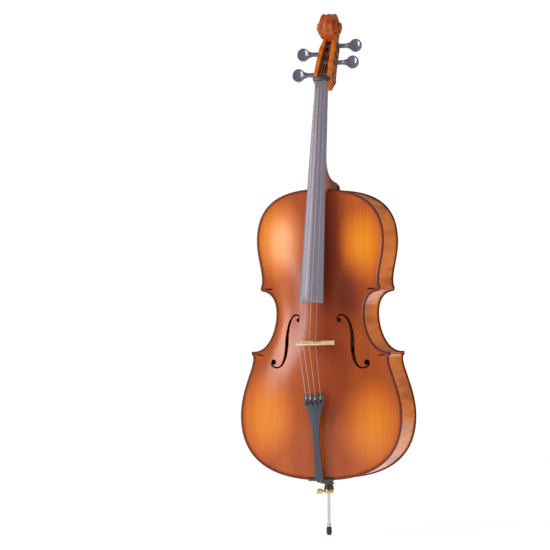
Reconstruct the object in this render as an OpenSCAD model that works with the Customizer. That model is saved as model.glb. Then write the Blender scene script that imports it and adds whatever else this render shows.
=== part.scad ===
// Full-size cello, front towards -Y, standing upright on its endpin at the origin.
// Plan positions on the body are [x, s]: x from the centre line, s down from the top edge of the plates.

/* [Body] */
// Length of the plates from neck edge to bottom edge
body_len = 755; // [740:1:790]
// Width across the upper bouts
upper_w = 346; // [325:1:360]
// Width across the waist
waist_w = 240; // [228:1:246]
// Width across the lower bouts
lower_w = 440; // [425:1:460]
// Height of the ribs between the glue faces of the plates
rib_h = 118; // [98:1:142]
// Thickness of a rib
rib_t = 2; // [1.6:0.1:2.4]
// Distance that the plates stand out past the ribs
overhang = 3.5; // [2.9:0.1:4.2]

/* [Plates] */
// Thickness of the plates at their edges
edge_t = 4.5; // [3.8:0.1:5.4]
// Thickness of the plates in the middle
plate_t = 4.5; // [3.8:0.1:5.4]
// Height of the front arch above the glue face
front_arch = 25.5; // [21:0.5:30.5]
// Height of the back arch above the glue face
back_arch = 26.5; // [22:0.5:32]
// Distance from the edge to the purfling
purf_in = 4.2; // [3.8:0.1:4.4]
// Width of the purfling
purf_w = 1.3; // [1:0.1:1.5]
// Depth of the purfling groove
purf_deep = 1.4; // [1:0.1:1.8]

/* [Sound holes] */
// Distance from the centre line to an upper eye
eye_up_x = 55; // [50:1:58]
// Distance from the centre line to a lower eye
eye_low_x = 127; // [120:1:130]
// Radius of an upper eye
eye_up_r = 5.5; // [4.5:0.1:6.5]
// Radius of a lower eye
eye_low_r = 7.2; // [6:0.1:8]
// Width of the slot at its middle
slot_w = 10.5; // [7:0.1:11]

/* [Neck] */
// Length from the top edge of the body to the nut
neck_len = 279; // [270:1:300]
// Backward lean of the neck in degrees
neck_lean = 9.2; // [8:0.1:10.5]
// Height of the neck's glue face above the edge of the front
overstand = 20; // [17:0.5:24]
// Width of the neck at the nut
nut_end_w = 32; // [28:0.5:34]
// Depth of the neck behind the fingerboard at the nut
neck_deep = 20; // [18:0.5:24]

/* [Fingerboard] */
// Length of the fingerboard
board_len = 582; // [540:1:600]
// Width of its wide end
board_end_w = 64; // [58:0.5:70]
// Thickness of its side edges
board_edge_t = 7; // [5.5:0.1:8.5]
// Radius of its playing surface
board_r = 62; // [56:1:74]

/* [Head] */
// Width of the pegbox at the nut
pegbox_w = 49; // [46:0.5:52]
// Width of the pegbox where it meets the scroll
throat_w = 41; // [38:0.5:43]
// Width of the scroll's first turn
turn_w = 30; // [27:0.5:34]
// Thickness of the pegbox cheeks
cheek_t = 10; // [8.5:0.1:10.5]
// Width across the two eyes of the scroll
scroll_w = 68; // [58:0.5:72]
// Outer radius where the scroll begins
scroll_r = 38; // [36:0.5:40]

/* [Pegs] */
// Diameter of a peg's shank where it enters the cheek
peg_d = 12.5; // [11:0.1:13.5]
// Diameter lost along the shank's taper
peg_taper = 2; // [1.5:0.1:2.5]
// Bare shank between the cheek and the collar
peg_out = 28; // [24:0.5:32]
// Radius of a peg's head
peg_head_r = 17.5; // [15:0.5:19]

/* [Bridge and strings] */
// Stop length, from the top edge of the body to the bridge
stop_len = 402; // [385:1:415]
// Height of the bridge
bridge_h = 90; // [84:0.5:96]
// Width across the feet of the bridge
bridge_w = 90; // [84:0.5:96]
// Spread of the outer strings at the bridge
bridge_spread = 47; // [42:0.5:50]
// Spread of the outer strings at the nut
nut_spread = 22; // [20:0.5:24]
// Diameters of the strings, C G D A
string_d = [1.7, 1.4, 1.15, 0.9];

/* [Tailpiece] */
// Length of the tailpiece
tail_len = 228; // [210:1:238]
// Width of its wide end
tail_w = 57; // [54:0.5:62]
// Width of its narrow end
tail_foot_w = 24; // [23:0.5:27]
// Spacing of the fine tuners
tuner_gap = 13; // [12:0.1:13.6]

/* [Endpin] */
// Diameter of the steel rod
rod_d = 8; // [7:0.1:10]
// Length of the rod
rod_len = 450; // [400:5:500]
// Rod showing between the clamp and the rubber tip
rod_out = 86.5; // [60:1:120]
// Length of the plug's collar below the ribs
collar_len = 29; // [25:0.5:35]
// Diameter of the clamp ring
clamp_d = 24; // [21:0.5:27]
// Height of the clamp ring
clamp_h = 10; // [9:0.5:14]
// Length of the rubber tip
tip_len = 22; // [18:0.5:30]
// Diameter of the rubber tip
tip_d = 14; // [12:0.5:18]

/* [Fits] */
// Gap round a part that turns or slides
run_fit = 0.05; // [0.03:0.01:0.08]
// Gap between glued faces that are curved
glue_gap = 0.3; // [0.2:0.05:0.5]

/* [Hidden] */
$fn = 48;

SPRUCE = "#d98c2b";
MAPLE = "#a9511f";
RAW = "#d9bd8c";
EBONY = "#2b292c";
BRASS = "#c9a24a";
STEEL = "#a8a8ac";

// ---- Shared curves -------------------------------------------------------------------------

function bez(p, t) =
    pow(1 - t, 3) * p[0] + 3 * t * pow(1 - t, 2) * p[1] + 3 * t * t * (1 - t) * p[2] + t * t * t * p[3];
function bez_dir(p, t) =
    pow(1 - t, 2) * (p[1] - p[0]) + 2 * t * (1 - t) * (p[2] - p[1]) + t * t * (p[3] - p[2]);
function inset(p, t, d) =
    let (u = bez_dir(p, t) / norm(bez_dir(p, t))) bez(p, t) + d * [-u[1], u[0]];
function mix(a, b, t) = a + (b - a) * t;
function flip(pts) = [for (i = [len(pts) - 1:-1:0]) [-pts[i][0], pts[i][1]]];

// ---- Where the body stands -----------------------------------------------------------------

clamp_z = tip_len + rod_out;
plug_z = clamp_z + clamp_h;
rib_bottom_z = plug_z + collar_len;
body_z = rib_bottom_z - overhang + body_len;
half_h = rib_h / 2;
front_edge_y = -half_h - edge_t;

// ---- Outline of the plates, right half, as curves from the top centre to the bottom centre --

hu = upper_w / 2;
hc = waist_w / 2;
hl = lower_w / 2;
upper_tip = [hu * 0.947, body_len * 0.3405];
upper_tip_in = upper_tip + [-3.5, 8];
lower_tip = [hl * 0.855, body_len * 0.558];
lower_tip_out = lower_tip + [-1.5, 9];
TOP = [[0, 0], [hu * 0.69, 0], [hu, body_len * 0.06], [hu, body_len * 0.179]];
UPPER = [TOP[3], [hu, body_len * 0.245], [hu * 0.865, body_len * 0.306], upper_tip];
WAIST_UP = [upper_tip_in, upper_tip_in + [-29.5, 2], [hc, body_len * 0.389], [hc, body_len * 0.4265]];
WAIST_LOW = [WAIST_UP[3], [hc, body_len * 0.48], [hc + 21, body_len * 0.564], lower_tip];
LOWER = [lower_tip_out, lower_tip_out + [-11, 24], [hl, body_len * 0.682], [hl, body_len * 0.781]];
BOTTOM = [LOWER[3], [hl, body_len * 0.924], [hl * 0.66, body_len], [0, body_len]];

// Each curve with its number of steps, and the stretch of the arch's ridge that it faces
ridge_top = body_len * 0.195;
ridge_end = body_len * 0.785;
SIDES = [
    [TOP, 10, ridge_top, body_len * 0.225],
    [UPPER, 8, body_len * 0.225, upper_tip[1] - 3],
    [WAIST_UP, 8, upper_tip[1], body_len * 0.42],
    [WAIST_LOW, 9, body_len * 0.42, lower_tip[1] + 22],
    [LOWER, 8, lower_tip[1] + 26, body_len * 0.742],
    [BOTTOM, 12, body_len * 0.742, ridge_end]];
// A curve that runs smoothly on into the next one leaves their shared point to it
function steps_of(i) = i == 0 || i == 2 || i == 4 ? SIDES[i][1] - 1 : SIDES[i][1];
STATIONS = [for (i = [0:5]) for (k = [0:steps_of(i)])
    let (t = k / SIDES[i][1]) [SIDES[i][0], t, mix(SIDES[i][2], SIDES[i][3], t)]];
ROWS = len(STATIONS) - 1;

function half_outline(d) = [for (st = STATIONS) inset(st[0], st[1], d)];
function outline(d) =
    let (h = half_outline(d), n = len(h)) concat(h, [for (i = [n - 2:-1:1]) [-h[i][0], h[i][1]]]);

// Stands a plan shape up as a slab from y to y + deep
module slab(y, deep) translate([0, y, body_z]) rotate([-90, 0, 0]) linear_extrude(deep) children();

// ---- Arched plates -------------------------------------------------------------------------

channel_t = edge_t - 0.9;
function swell(u) = (1 - cos(180 * pow(u, 0.8))) / 2;
function ridge_h(arch, s) = arch * (1 - 0.1 * pow((s - stop_len * 0.95) / (body_len / 3), 2));
arch_steps = 6;

// One row of the plate from the ridge inside, round the edge, to the ridge outside: [x, s, height]
function plate_row(st, arch) =
    let (
        ridge = [0, st[2]],
        top = ridge_h(arch, st[2]),
        inner = inset(st[0], st[1], purf_in + purf_w),
        run = norm(ridge - inner),
        channel = mix(inner, ridge, 4 / run),
        at = function(d) inset(st[0], st[1], d),
        lift = function(p, h) [p[0], p[1], h])
    concat(
        [for (j = [arch_steps:-1:0]) let (u = j / arch_steps)
            lift(mix(channel, ridge, u), (top - plate_t) * swell(u))],
        [lift(at(1), 0), lift(at(0), 1), lift(at(0), edge_t - 1.2), lift(at(1.2), edge_t),
         lift(at(purf_in), edge_t), lift(at(purf_in), edge_t - purf_deep),
         lift(at(purf_in + purf_w), edge_t - purf_deep), lift(inner + (channel - inner) * 0.02, edge_t - 0.2)],
        [for (j = [0:arch_steps]) let (u = j / arch_steps)
            lift(mix(channel, ridge, u), mix(channel_t, top, swell(u)))]);

// side is -1 for the front and 1 for the back
module arched(arch, side) {
    rows = [for (st = STATIONS) plate_row(st, arch)];
    cols = len(rows[0]);
    place = function(p, m) [m * p[0], side * (half_h + p[2]), body_z - p[1]];
    points = concat(
        [for (r = rows) for (p = r) place(p, 1)],
        [for (k = [ROWS - 1:-1:1]) for (p = rows[k]) place(p, -1)]);
    at = function(k, c) (c == 0 || c == cols - 1) && k > ROWS ? (2 * ROWS - k) * cols + c : k * cols + c;
    faces = [for (k = [0:2 * ROWS - 1]) for (c = [0:cols - 2])
        let (n = (k + 1) % (2 * ROWS), q = [at(k, c), at(k, c + 1), at(n, c + 1), at(n, c)])
        each side < 0 ? [[q[0], q[1], q[2]], [q[0], q[2], q[3]]] : [[q[0], q[2], q[1]], [q[0], q[3], q[2]]]];
    polyhedron(points, faces);
}

// Height of a plate above the glue face at [x, s], on its inner face or its outer face
SWELL = [for (j = [0:arch_steps]) [j / arch_steps, swell(j / arch_steps)]];
function plate_h(arch, x, s, outer) =
    lookup(s, [for (st = STATIONS)
        let (ridge = [0, st[2]], inner = inset(st[0], st[1], purf_in + purf_w),
             channel = mix(inner, ridge, 4 / norm(ridge - inner)), top = ridge_h(arch, st[2]))
        if (channel[0] > x + 1)
            let (u = 1 - x / channel[0], w = lookup(u, SWELL))
            [mix(channel[1], ridge[1], u), outer ? mix(channel_t, top, w) : (top - plate_t) * w]]);

// ---- Sound holes ---------------------------------------------------------------------------

eye_up = [eye_up_x, body_len * 0.45];
eye_low = [eye_low_x, body_len * 0.5945];
HOLE_TOP = [eye_up + [-eye_up_r + 1, -2], eye_up + [-eye_up_r, -12], eye_up + [5, -17], eye_up + [14, -11]];
HOLE_UP = [HOLE_TOP[3], HOLE_TOP[3] + [13, 9], [eye_up[0] + 33, eye_up[1] + 25], [eye_up[0] + 34, eye_up[1] + 53]];
HOLE_DOWN = [HOLE_UP[3], HOLE_UP[3] + [0, 29], [eye_low[0] - 33, eye_low[1] + 2], [eye_low[0] - 20, eye_low[1] + 11]];
HOLE_END = [HOLE_DOWN[3], HOLE_DOWN[3] + [8, 6], eye_low + [eye_low_r - 1, 14], eye_low + [eye_low_r - 1, 2]];
slot_end_w = 3.4;
HOLE_LINE = [
    for (k = [0:7]) [HOLE_TOP, k / 8, slot_end_w + k * 0.15],
    for (k = [0:7]) [HOLE_UP, k / 8, mix(slot_end_w + 1.2, slot_w, pow(k / 8, 1.2))],
    for (k = [0:7]) [HOLE_DOWN, k / 8, mix(slot_w, slot_end_w + 1.4, pow(k / 8, 1.6))],
    for (k = [0:8]) [HOLE_END, k / 8, slot_end_w + (8 - k) * 0.175]];

module sound_hole() {
    polygon(concat(
        [for (p = HOLE_LINE) inset(p[0], p[1], -p[2] / 2)],
        [for (i = [len(HOLE_LINE) - 1:-1:0]) inset(HOLE_LINE[i][0], HOLE_LINE[i][1], HOLE_LINE[i][2] / 2)]));
    translate(eye_up) circle(eye_up_r);
    translate(eye_low) circle(eye_low_r);
}

// ---- Where the neck stands: its own frame has +Z up along the glue face, +Y into the wood ----

neck_tan = tan(neck_lean);
nut_z = body_z + neck_len;
nut_y = front_edge_y - overstand + neck_len * neck_tan;
function from_neck(y, z) = [nut_y + z * sin(neck_lean) + y * cos(neck_lean),
                            nut_z + z * cos(neck_lean) - y * sin(neck_lean)];
function glue_at(z) = nut_y - (nut_z - z) * neck_tan;
module in_neck_frame() translate([0, nut_y, nut_z]) rotate([-neck_lean, 0, 0]) children();

root_w = nut_end_w + 14;
button_w = 27;
button_len = 18;
mortise = overhang + rib_t + 7;
root_fit = 0.1;

// Space that the neck's root takes through the rib, the front's edge and the block
module root_space(gap) translate([0, 0, body_z - mortise - gap]) linear_extrude(mortise + 40)
    polygon([[-root_w / 2 - gap, -200], [root_w / 2 + gap, -200], [root_w / 2 + gap, -half_h],
             [button_w / 2 + gap, half_h], [-button_w / 2 - gap, half_h], [-root_w / 2 - gap, -half_h]]);

module saddle_space() translate([-saddle_w / 2 - root_fit, -half_h - 20, body_z - body_len - 5])
    cube([saddle_w + 2 * root_fit, 40, 5 + saddle_deep + root_fit]);

module top_plate() color(SPRUCE) difference() {
    arched(front_arch, -1);
    slab(-half_h - front_arch - 5, front_arch + 10) sound_hole();
    mirror([1, 0, 0]) slab(-half_h - front_arch - 5, front_arch + 10) sound_hole();
    root_space(root_fit);
    saddle_space();
}

module back_plate() color(MAPLE) {
    arched(back_arch, 1);
    difference() {
        translate([0, half_h, body_z + button_len - button_w / 2]) rotate([-90, 0, 0])
            union() {
                cylinder(d = button_w, h = edge_t);
                translate([-button_w / 2, 0, 0]) cube([button_w, button_len, edge_t]);
            }
        translate([-50, 0, body_z - 50]) cube([100, 100, 47]);
    }
}

// ---- Ribs, linings and blocks --------------------------------------------------------------

// Everything bent round the body shares one grid of steps on each curve
GRID = 20;
function bent(run, d) = [for (r = run) for (k = [r[1]:r[2]]) inset(r[0], k / GRID, d)];
module bent_strip(run, d, t) {
    far = bent(run, d + t);
    polygon(concat(bent(run, d), [for (i = [len(far) - 1:-1:0]) far[i]]));
}
module rib(run) slab(-half_h, rib_h) bent_strip(run, overhang, rib_t);
module upper_rib() color(MAPLE) difference() {
    rib([[TOP, 0, GRID], [UPPER, 1, GRID]]);
    root_space(root_fit);
}
module waist_rib() color(MAPLE) rib([[WAIST_UP, 0, GRID], [WAIST_LOW, 1, GRID]]);
module lower_rib() color(MAPLE) difference() {
    rib([[LOWER, 0, GRID], [BOTTOM, 1, GRID]]);
    plug_space();
}

lining_t = 2.2;
lining_h = 14;
inside_d = overhang + rib_t + 0.05;
UPPER_LINING = [[TOP, 5, GRID], [UPPER, 1, 13]];
WAIST_LINING = [[WAIST_UP, 13, GRID], [WAIST_LOW, 1, 9]];
LOWER_LINING = [[LOWER, 8, GRID], [BOTTOM, 1, 15]];
module linings(y) color(RAW) for (m = [0, 1]) mirror([m, 0, 0])
    for (run = [UPPER_LINING, WAIST_LINING, LOWER_LINING]) slab(y, lining_h) bent_strip(run, inside_d, lining_t);

module inside_of_ribs() slab(-half_h, rib_h) {
    half = bent([[TOP, 0, GRID], [UPPER, 1, GRID - 1], [WAIST_UP, 1, GRID], [WAIST_LOW, 1, GRID - 1],
                 [LOWER, 1, GRID], [BOTTOM, 1, GRID]], inside_d);
    polygon(concat(half, flip([for (i = [1:len(half) - 2]) half[i]])));
}
block_w = 88;
block_t = 34;
module neck_block() color(RAW) difference() {
    intersection() {
        inside_of_ribs();
        translate([-block_w / 2, -half_h, body_z - block_t]) cube([block_w, rib_h, block_t]);
    }
    root_space(root_fit);
}
module end_block() color(RAW) difference() {
    intersection() {
        inside_of_ribs();
        translate([-block_w / 2, -half_h, body_z - body_len]) cube([block_w, rib_h, block_t]);
    }
    plug_space();
}
module corner_blocks() color(RAW) for (m = [0, 1]) mirror([m, 0, 0]) intersection() {
    inside_of_ribs();
    slab(-half_h, rib_h) {
        polygon([upper_tip + [14, -30], upper_tip + [14, 14], upper_tip + [-30, 14], upper_tip + [-22, -24]]);
        polygon([lower_tip + [-36, -12], lower_tip + [12, -12], lower_tip + [12, 34], lower_tip + [-22, 34]]);
    }
}

// ---- Bass bar and sound post ---------------------------------------------------------------

bar_x = -24;
bar_t = 10.5;
bar_len = 570;
bar_deep = 24;
module bass_bar() {
    n = 24;
    s0 = (body_len - bar_len) / 2;
    rows = [for (k = [0:n]) let (
        s = s0 + bar_len * k / n,
        top = min([for (e = [-1, 1]) plate_h(front_arch, abs(bar_x) + e * bar_t / 2, s, false)]) - 2 * glue_gap,
        low = top - 5 - (bar_deep - 5) * sin(180 * k / n))
        [for (e = [-1, 1]) for (h = [low, top]) [bar_x + e * bar_t / 2, -half_h - h, body_z - s]]];
    ring = [0, 1, 3, 2];
    faces = concat([[0, 2, 3, 1]], [[4 * n, 4 * n + 1, 4 * n + 3, 4 * n + 2]],
        [for (k = [0:n - 1]) for (j = [0:3])
            let (a = 4 * k + ring[j], b = 4 * k + ring[(j + 1) % 4]) each [[a, b, b + 4], [a, b + 4, a + 4]]]);
    color(RAW) polyhedron([for (r = rows) each r], faces);
}

post_x = 32;
post_d = 11;
post_s = stop_len + 12;
module sound_post() {
    edge = post_x + post_d / 2;
    front = plate_h(front_arch, edge, post_s, false) - 2 * glue_gap;
    back = plate_h(back_arch, edge, post_s, false) - 2 * glue_gap;
    color(RAW) translate([post_x, -half_h - front, body_z - post_s]) rotate([-90, 0, 0])
        cylinder(d = post_d, h = rib_h + front + back);
}

// ---- Purfling ------------------------------------------------------------------------------

purf_gap = 0.03;
module purfling(side) color("#3a2418") difference() {
    slab(side < 0 ? -half_h - edge_t : half_h + edge_t - purf_deep + purf_gap, purf_deep - purf_gap)
        difference() {
            polygon(outline(purf_in + purf_gap));
            polygon(outline(purf_in + purf_w - purf_gap));
        }
    if (side < 0) {
        root_space(root_fit);
        saddle_space();
    }
}

// ---- Neck, pegbox and scroll: one piece of maple -------------------------------------------

// The back of the neck runs straight down from the nut, then out along the heel to the button
heel_start = -neck_len * 0.66;
heel_z = body_z + button_len;
HEEL = [from_neck(neck_deep + 3.5, heel_start), from_neck(neck_deep + 4.5, heel_start - 72),
        [half_h - 60, heel_z + 1], [half_h, heel_z]];
neck_half = nut_end_w / 2;
root_half = root_w / 2 - 0.5;
// Each section: middle of its front, middle of its back, half width in front, half width behind, squareness
NECK_SECTIONS = [
    for (q = [0:0.2:0.8])
        [from_neck(0, heel_start * q), from_neck(neck_deep + 3.5 * q, heel_start * q),
         mix(neck_half, root_half, q * 0.66), mix(neck_half, root_half, q * 0.66), 1],
    for (q = [0:0.1:1]) let (z = mix(from_neck(0, heel_start)[1], heel_z + 5, q))
        [[glue_at(z), z], bez(HEEL, q), mix(mix(neck_half, root_half, 0.66), root_half, q),
         mix(mix(neck_half, root_half, 0.66), button_w / 2 - 0.4, q), mix(1, 0.4, q)],
    for (z = [body_z, body_z - mortise])
        [[glue_at(z), z], [half_h, z], root_half, button_w / 2 - 0.4, 0.25]];
section_n = 14;
function neck_point(sec, a) =
    let (deep = pow(sin(a), sec[4]), wide = pow(abs(cos(a)), sec[4]), yz = mix(sec[0], sec[1], deep))
    [sign(cos(a)) * wide * mix(sec[2], sec[3], deep), yz[0], yz[1]];
module neck_shaft() {
    n = len(NECK_SECTIONS);
    m = section_n + 1;
    faces = concat([[for (k = [section_n:-1:0]) k]], [[for (k = [0:section_n]) (n - 1) * m + k]],
        [for (i = [0:n - 2]) for (k = [0:section_n])
            let (a = i * m + k, b = i * m + (k + 1) % m) each [[a, b, a + m], [b, b + m, a + m]]]);
    polyhedron([for (sec = NECK_SECTIONS) for (k = [0:section_n]) neck_point(sec, 180 * k / section_n)], faces);
}

// Side view of the head in the neck's frame: [y, z]
eye = [40, 151];
nut_len = 9;
CHEEK = [[-1.5, nut_len], [5, 45], [19, 80], [40, 120]];
BACK = [[77, 126], [73, 88], [44, 46], [45, 3]];
CHIN = [[45, 3], [44, -16], [36, -21], [neck_deep - 1, -20]];
HEAD_SIDE = concat([[0.3, -20], [0.3, 1], [0, 1], [0, nut_len]], [for (k = [0:10]) bez(CHEEK, k / 10)], [[50, 133], [72, 133]],
    [for (k = [0:8]) bez(BACK, k / 8)], [for (k = [1:6]) bez(CHIN, k / 6)]);
cavity_top = 117;
CAVITY_SIDE = concat([[-20, nut_len + 0.5], [-20, cavity_top], [36, cavity_top]],
    [for (k = [0:8]) bez([[54, cavity_top], [78, cavity_top - 5], [46, 62], [36, nut_len + 0.5]], k / 8)]);
function pegbox_half(z) = mix(pegbox_w, throat_w, z / 125) / 2;
module extrude_side(w) rotate([90, 0, 90]) translate([0, 0, -w / 2]) linear_extrude(w) children();
module extrude_front() translate([0, 80, 0]) rotate([90, 0, 0]) linear_extrude(160) children();
HEAD_PLAN = [[neck_half - 0.5, -21], [neck_half + 0.5, -12], [neck_half + 1.5, -5], [neck_half + 4, -1.5],
             [pegbox_half(0) - 1, 1], [pegbox_half(6), 6], [pegbox_half(100), 100], [turn_w / 2 + 2, 116],
             [turn_w / 2, 121], [turn_w / 2, 150]];

// The scroll: lengths of a spiral, each a little under a quarter turn, smaller and wider than the last
scroll_from = -35;
turn_shrink = 0.6;
lengths = 10;
length_turn = 87;
eye_r = 7.5;
function scroll_at(a) = scroll_r * pow(turn_shrink, (a - 90) / 360);
function scroll_half(q) = mix(turn_w / 2 - 0.5, scroll_w / 2 - 2, pow(q / (lengths - 1), 1.2));
module scroll() translate([0, eye[0], eye[1]]) {
    for (q = [0:lengths - 1]) let (from = scroll_from + length_turn * q, to = from + length_turn)
        extrude_side(2 * scroll_half(q)) polygon(concat([for (a = [to, from]) eye_r / 2 * [cos(a), sin(a)]],
            [for (k = [0:7]) let (a = mix(from, to, k / 7)) scroll_at(a) * [cos(a), sin(a)]]));
    rotate([0, 90, 0]) translate([0, 0, -scroll_w / 2]) cylinder(r = eye_r, h = scroll_w);
}

// Pegs, C G D A: [y, z] of the axis in the neck's frame, side of the head, and x of its winding
PEGS = [[[22, 22], -1, -8], [[45, 82.5], -1, -3], [[54, 106], 1, 2.5], [[31, 56], 1, 8]];
peg_past = 3;
function peg_reach(i) = pegbox_half(PEGS[i][0][1]);
function peg_r(i, x) = (peg_d - peg_taper * (peg_reach(i) - x) / (2 * peg_reach(i))) / 2;
// Stands on a peg's axis with +Z towards its head
module on_peg(i) in_neck_frame() translate([0, PEGS[i][0][0], PEGS[i][0][1]]) rotate([0, PEGS[i][1] * 90, 0]) children();
module peg_bore(i) {
    far = peg_reach(i) + 6;
    on_peg(i) translate([0, 0, -far]) cylinder(r1 = peg_r(i, -far) + run_fit, r2 = peg_r(i, far) + run_fit, h = 2 * far);
}

module neck() color(MAPLE) difference() {
    union() {
        neck_shaft();
        in_neck_frame() {
            intersection() {
                extrude_side(pegbox_w + 10) polygon(HEAD_SIDE);
                extrude_front() polygon(concat(HEAD_PLAN, flip(HEAD_PLAN)));
            }
            scroll();
        }
    }
    in_neck_frame() intersection() {
        extrude_side(pegbox_w) polygon(CAVITY_SIDE);
        extrude_front() polygon([[cheek_t - pegbox_half(0), 0], [pegbox_half(0) - cheek_t, 0],
                                 [pegbox_half(95) - cheek_t, 95], [turn_w / 2 - 7, 120],
                                 [7 - turn_w / 2, 120], [cheek_t - pegbox_half(95), 95]]);
    }
    for (i = [0:3]) peg_bore(i);
}

module peg(i) {
    far = -peg_reach(i) - peg_past;
    near = peg_reach(i) + peg_out;
    color(EBONY) on_peg(i) {
        translate([0, 0, far]) cylinder(r1 = peg_r(i, far), r2 = peg_r(i, near), h = near - far);
        translate([0, 0, near]) cylinder(r1 = peg_r(i, near), r2 = 8.5, h = 3);
        translate([0, 0, near + 3]) cylinder(r = 8.5, h = 2);
        translate([0, 0, near + 18]) difference() {
            intersection() {
                rotate([90, 0, 0]) cylinder(r = peg_head_r, h = 14, center = true);
                sphere(r = peg_head_r + 1.2);
            }
            for (e = [-1, 1]) translate([-30, e * 43.5, 4]) rotate([0, 90, 0]) cylinder(r = 39, h = 60);
        }
    }
}

// ---- Fingerboard and nut -------------------------------------------------------------------

function crown(w) = board_r - sqrt(board_r * board_r - w * w / 4);
board_top_nut = board_edge_t + crown(nut_end_w);
board_top_end = board_edge_t + crown(board_end_w);
board_tilt = atan((board_top_end - board_top_nut) / board_len);
free_from = neck_len + mortise + 4;
module board_round(r, from, to) in_neck_frame() translate([0, -board_top_nut, 0]) rotate([-board_tilt, 0, 0])
    translate([0, board_r, -to]) cylinder(r = r, h = to - from, $fn = 96);
module fingerboard() color(EBONY) difference() {
    intersection() {
        in_neck_frame() rotate([90, 0, 0]) linear_extrude(board_top_end + 5)
            polygon([[-nut_end_w / 2, 0], [nut_end_w / 2, 0],
                     [board_end_w / 2, -board_len], [-board_end_w / 2, -board_len]]);
        board_round(board_r, -10, board_len + 20);
    }
    // hollowed underneath where it runs free over the front
    board_round(board_r - board_edge_t, free_from, board_len + 30);
}

nut_proud = 1.8;
nut_full_w = pegbox_w - 3;
nut_top = board_top_nut + nut_proud;
NUT_HALF = concat([[nut_full_w / 2, 0]],
    [for (k = [6:-1:0]) let (x = nut_full_w / 2 * k / 6) [x, crown(2 * x) - nut_top]]);
module nut() color(EBONY) difference() {
    in_neck_frame() translate([0, 0, 0.05]) linear_extrude(nut_len - 0.05)
        polygon(concat(NUT_HALF, flip([for (k = [0:6]) NUT_HALF[k]])));
    for (i = [0:3]) string_run(i, string_d[i] / 2 + 0.1);
}

// ---- Bridge --------------------------------------------------------------------------------

arch_top = plate_h(front_arch, 0, stop_len, true);
bridge_top_y = -half_h - arch_top - bridge_h;
bridge_z = body_z - stop_len;
bridge_foot_t = 11;
bridge_top_t = 2.8;
foot_in = 12;
function foot_drop(x) =
    arch_top - min([for (s = [-bridge_foot_t, 2]) plate_h(front_arch, x, stop_len + s, true)]) ;
bridge_top_half = 31;
BRIDGE_FOOT = [for (k = [0:6]) let (x = mix(foot_in, bridge_w / 2, k / 6)) [x, glue_gap + 0.4 - foot_drop(x)]];
BRIDGE_SIDE = [[bridge_w / 2, 3], [39, 9], [35, 20], [32, 33], [26, 39], [27, 45], [34, 46], [37, 51], [35, 56],
    [27, 55], [24, 58], [25, 62], [33, 66], [34, 72], [bridge_top_half, bridge_h - crown(2 * bridge_top_half)]];
BRIDGE_HALF = concat([[0, 33], [9, 30], [14, 20], [15, 9], [13, 5]], BRIDGE_FOOT, BRIDGE_SIDE,
    [for (k = [1:6]) let (x = bridge_top_half * (1 - k / 6)) [x, bridge_h - crown(2 * x)]]);
module bridge() color("#e8d3a8") difference() {
    intersection() {
        translate([0, -half_h - arch_top, bridge_z + bridge_foot_t]) rotate([180, 0, 0]) linear_extrude(bridge_foot_t + 5)
            difference() {
                polygon(concat(BRIDGE_HALF, flip([for (i = [1:len(BRIDGE_HALF) - 2]) BRIDGE_HALF[i]])));
                polygon([[-4, 50], [4, 50], [7, 56], [5, 61], [0, 66], [-5, 61], [-7, 56]]);
            }
        // flat towards the tailpiece, and thinner towards the strings on its other face
        translate([0, -half_h - arch_top, bridge_z - bridge_top_t / 2]) extrude_side(bridge_w + 10)
            polygon([[10, 0], [-bridge_h - 2, 0], [-bridge_h - 2, bridge_top_t],
                     [-bridge_h * 0.5, bridge_foot_t * 0.72], [0, bridge_foot_t], [10, bridge_foot_t]]);
    }
    for (i = [0:3]) string_run(i, string_d[i] / 2 + 0.1);
}

// ---- Tailpiece: its own frame starts at the crest of its wide end, with +Z up along it -----

tail_top_y = -124;
tail_top_z = body_z - 530;
tail_foot_y = -80;
tail_lean = asin((tail_foot_y - tail_top_y) / tail_len);
tail_r = 45;
tail_t = 5;
tail_solid = 32;
cord_r = 2;
cord_x = 5.5;
cord_deep = 5.5;
module in_tail_frame() translate([0, tail_top_y, tail_top_z]) rotate([tail_lean, 0, 0]) children();
function from_tail(x, y, z) = [x, tail_top_y + y * cos(tail_lean) - z * sin(tail_lean),
                               tail_top_z + z * cos(tail_lean) + y * sin(tail_lean)];
TAIL_SIDE = [[tail_w / 2 - 3, 0], [tail_w / 2, -3], [tail_w * 0.455, -25], [tail_w * 0.32, -46], [tail_w * 0.23, -70],
    [tail_w * 0.175, -95], [tail_w * 0.15, -120], [tail_w * 0.148, -145], [tail_w * 0.16, -170],
    [tail_foot_w / 2 - 1.2, -tail_len + 24], [tail_foot_w / 2, -tail_len + 8], [tail_foot_w / 2, -tail_len + 2],
    [tail_foot_w / 2 - 2, -tail_len]];

// Fine tuners, one for each string, numbered like the strings
pin_z = -9;
screw_z = -25;
pin_r = 1;
tuner_r = 1.6;
lever_w = 4;
function tuner_x(i) = (i - 1.5) * tuner_gap;
function tail_crest(x) = tail_r - sqrt(tail_r * tail_r - x * x);
function tail_under(x) = tail_r - sqrt(pow(tail_r - tail_t, 2) - x * x);
function pin_y(i) = tail_crest(tuner_x(i)) + 2.6;
function arm_y(i) = tail_under(abs(tuner_x(i)) + lever_w / 2) + 1.6;
ball_r = 2.1;
function ball_at(i) = from_tail(tuner_x(i), pin_y(i) - 4.4, pin_z - 2.2);
module on_pin(i) in_tail_frame() translate([tuner_x(i), pin_y(i), pin_z]) children();
// Stands on a tuning screw's axis, with +Z out of the tailpiece
module on_screw(i) in_tail_frame() translate([tuner_x(i), 0, screw_z]) rotate([90, 0, 0]) children();

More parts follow.
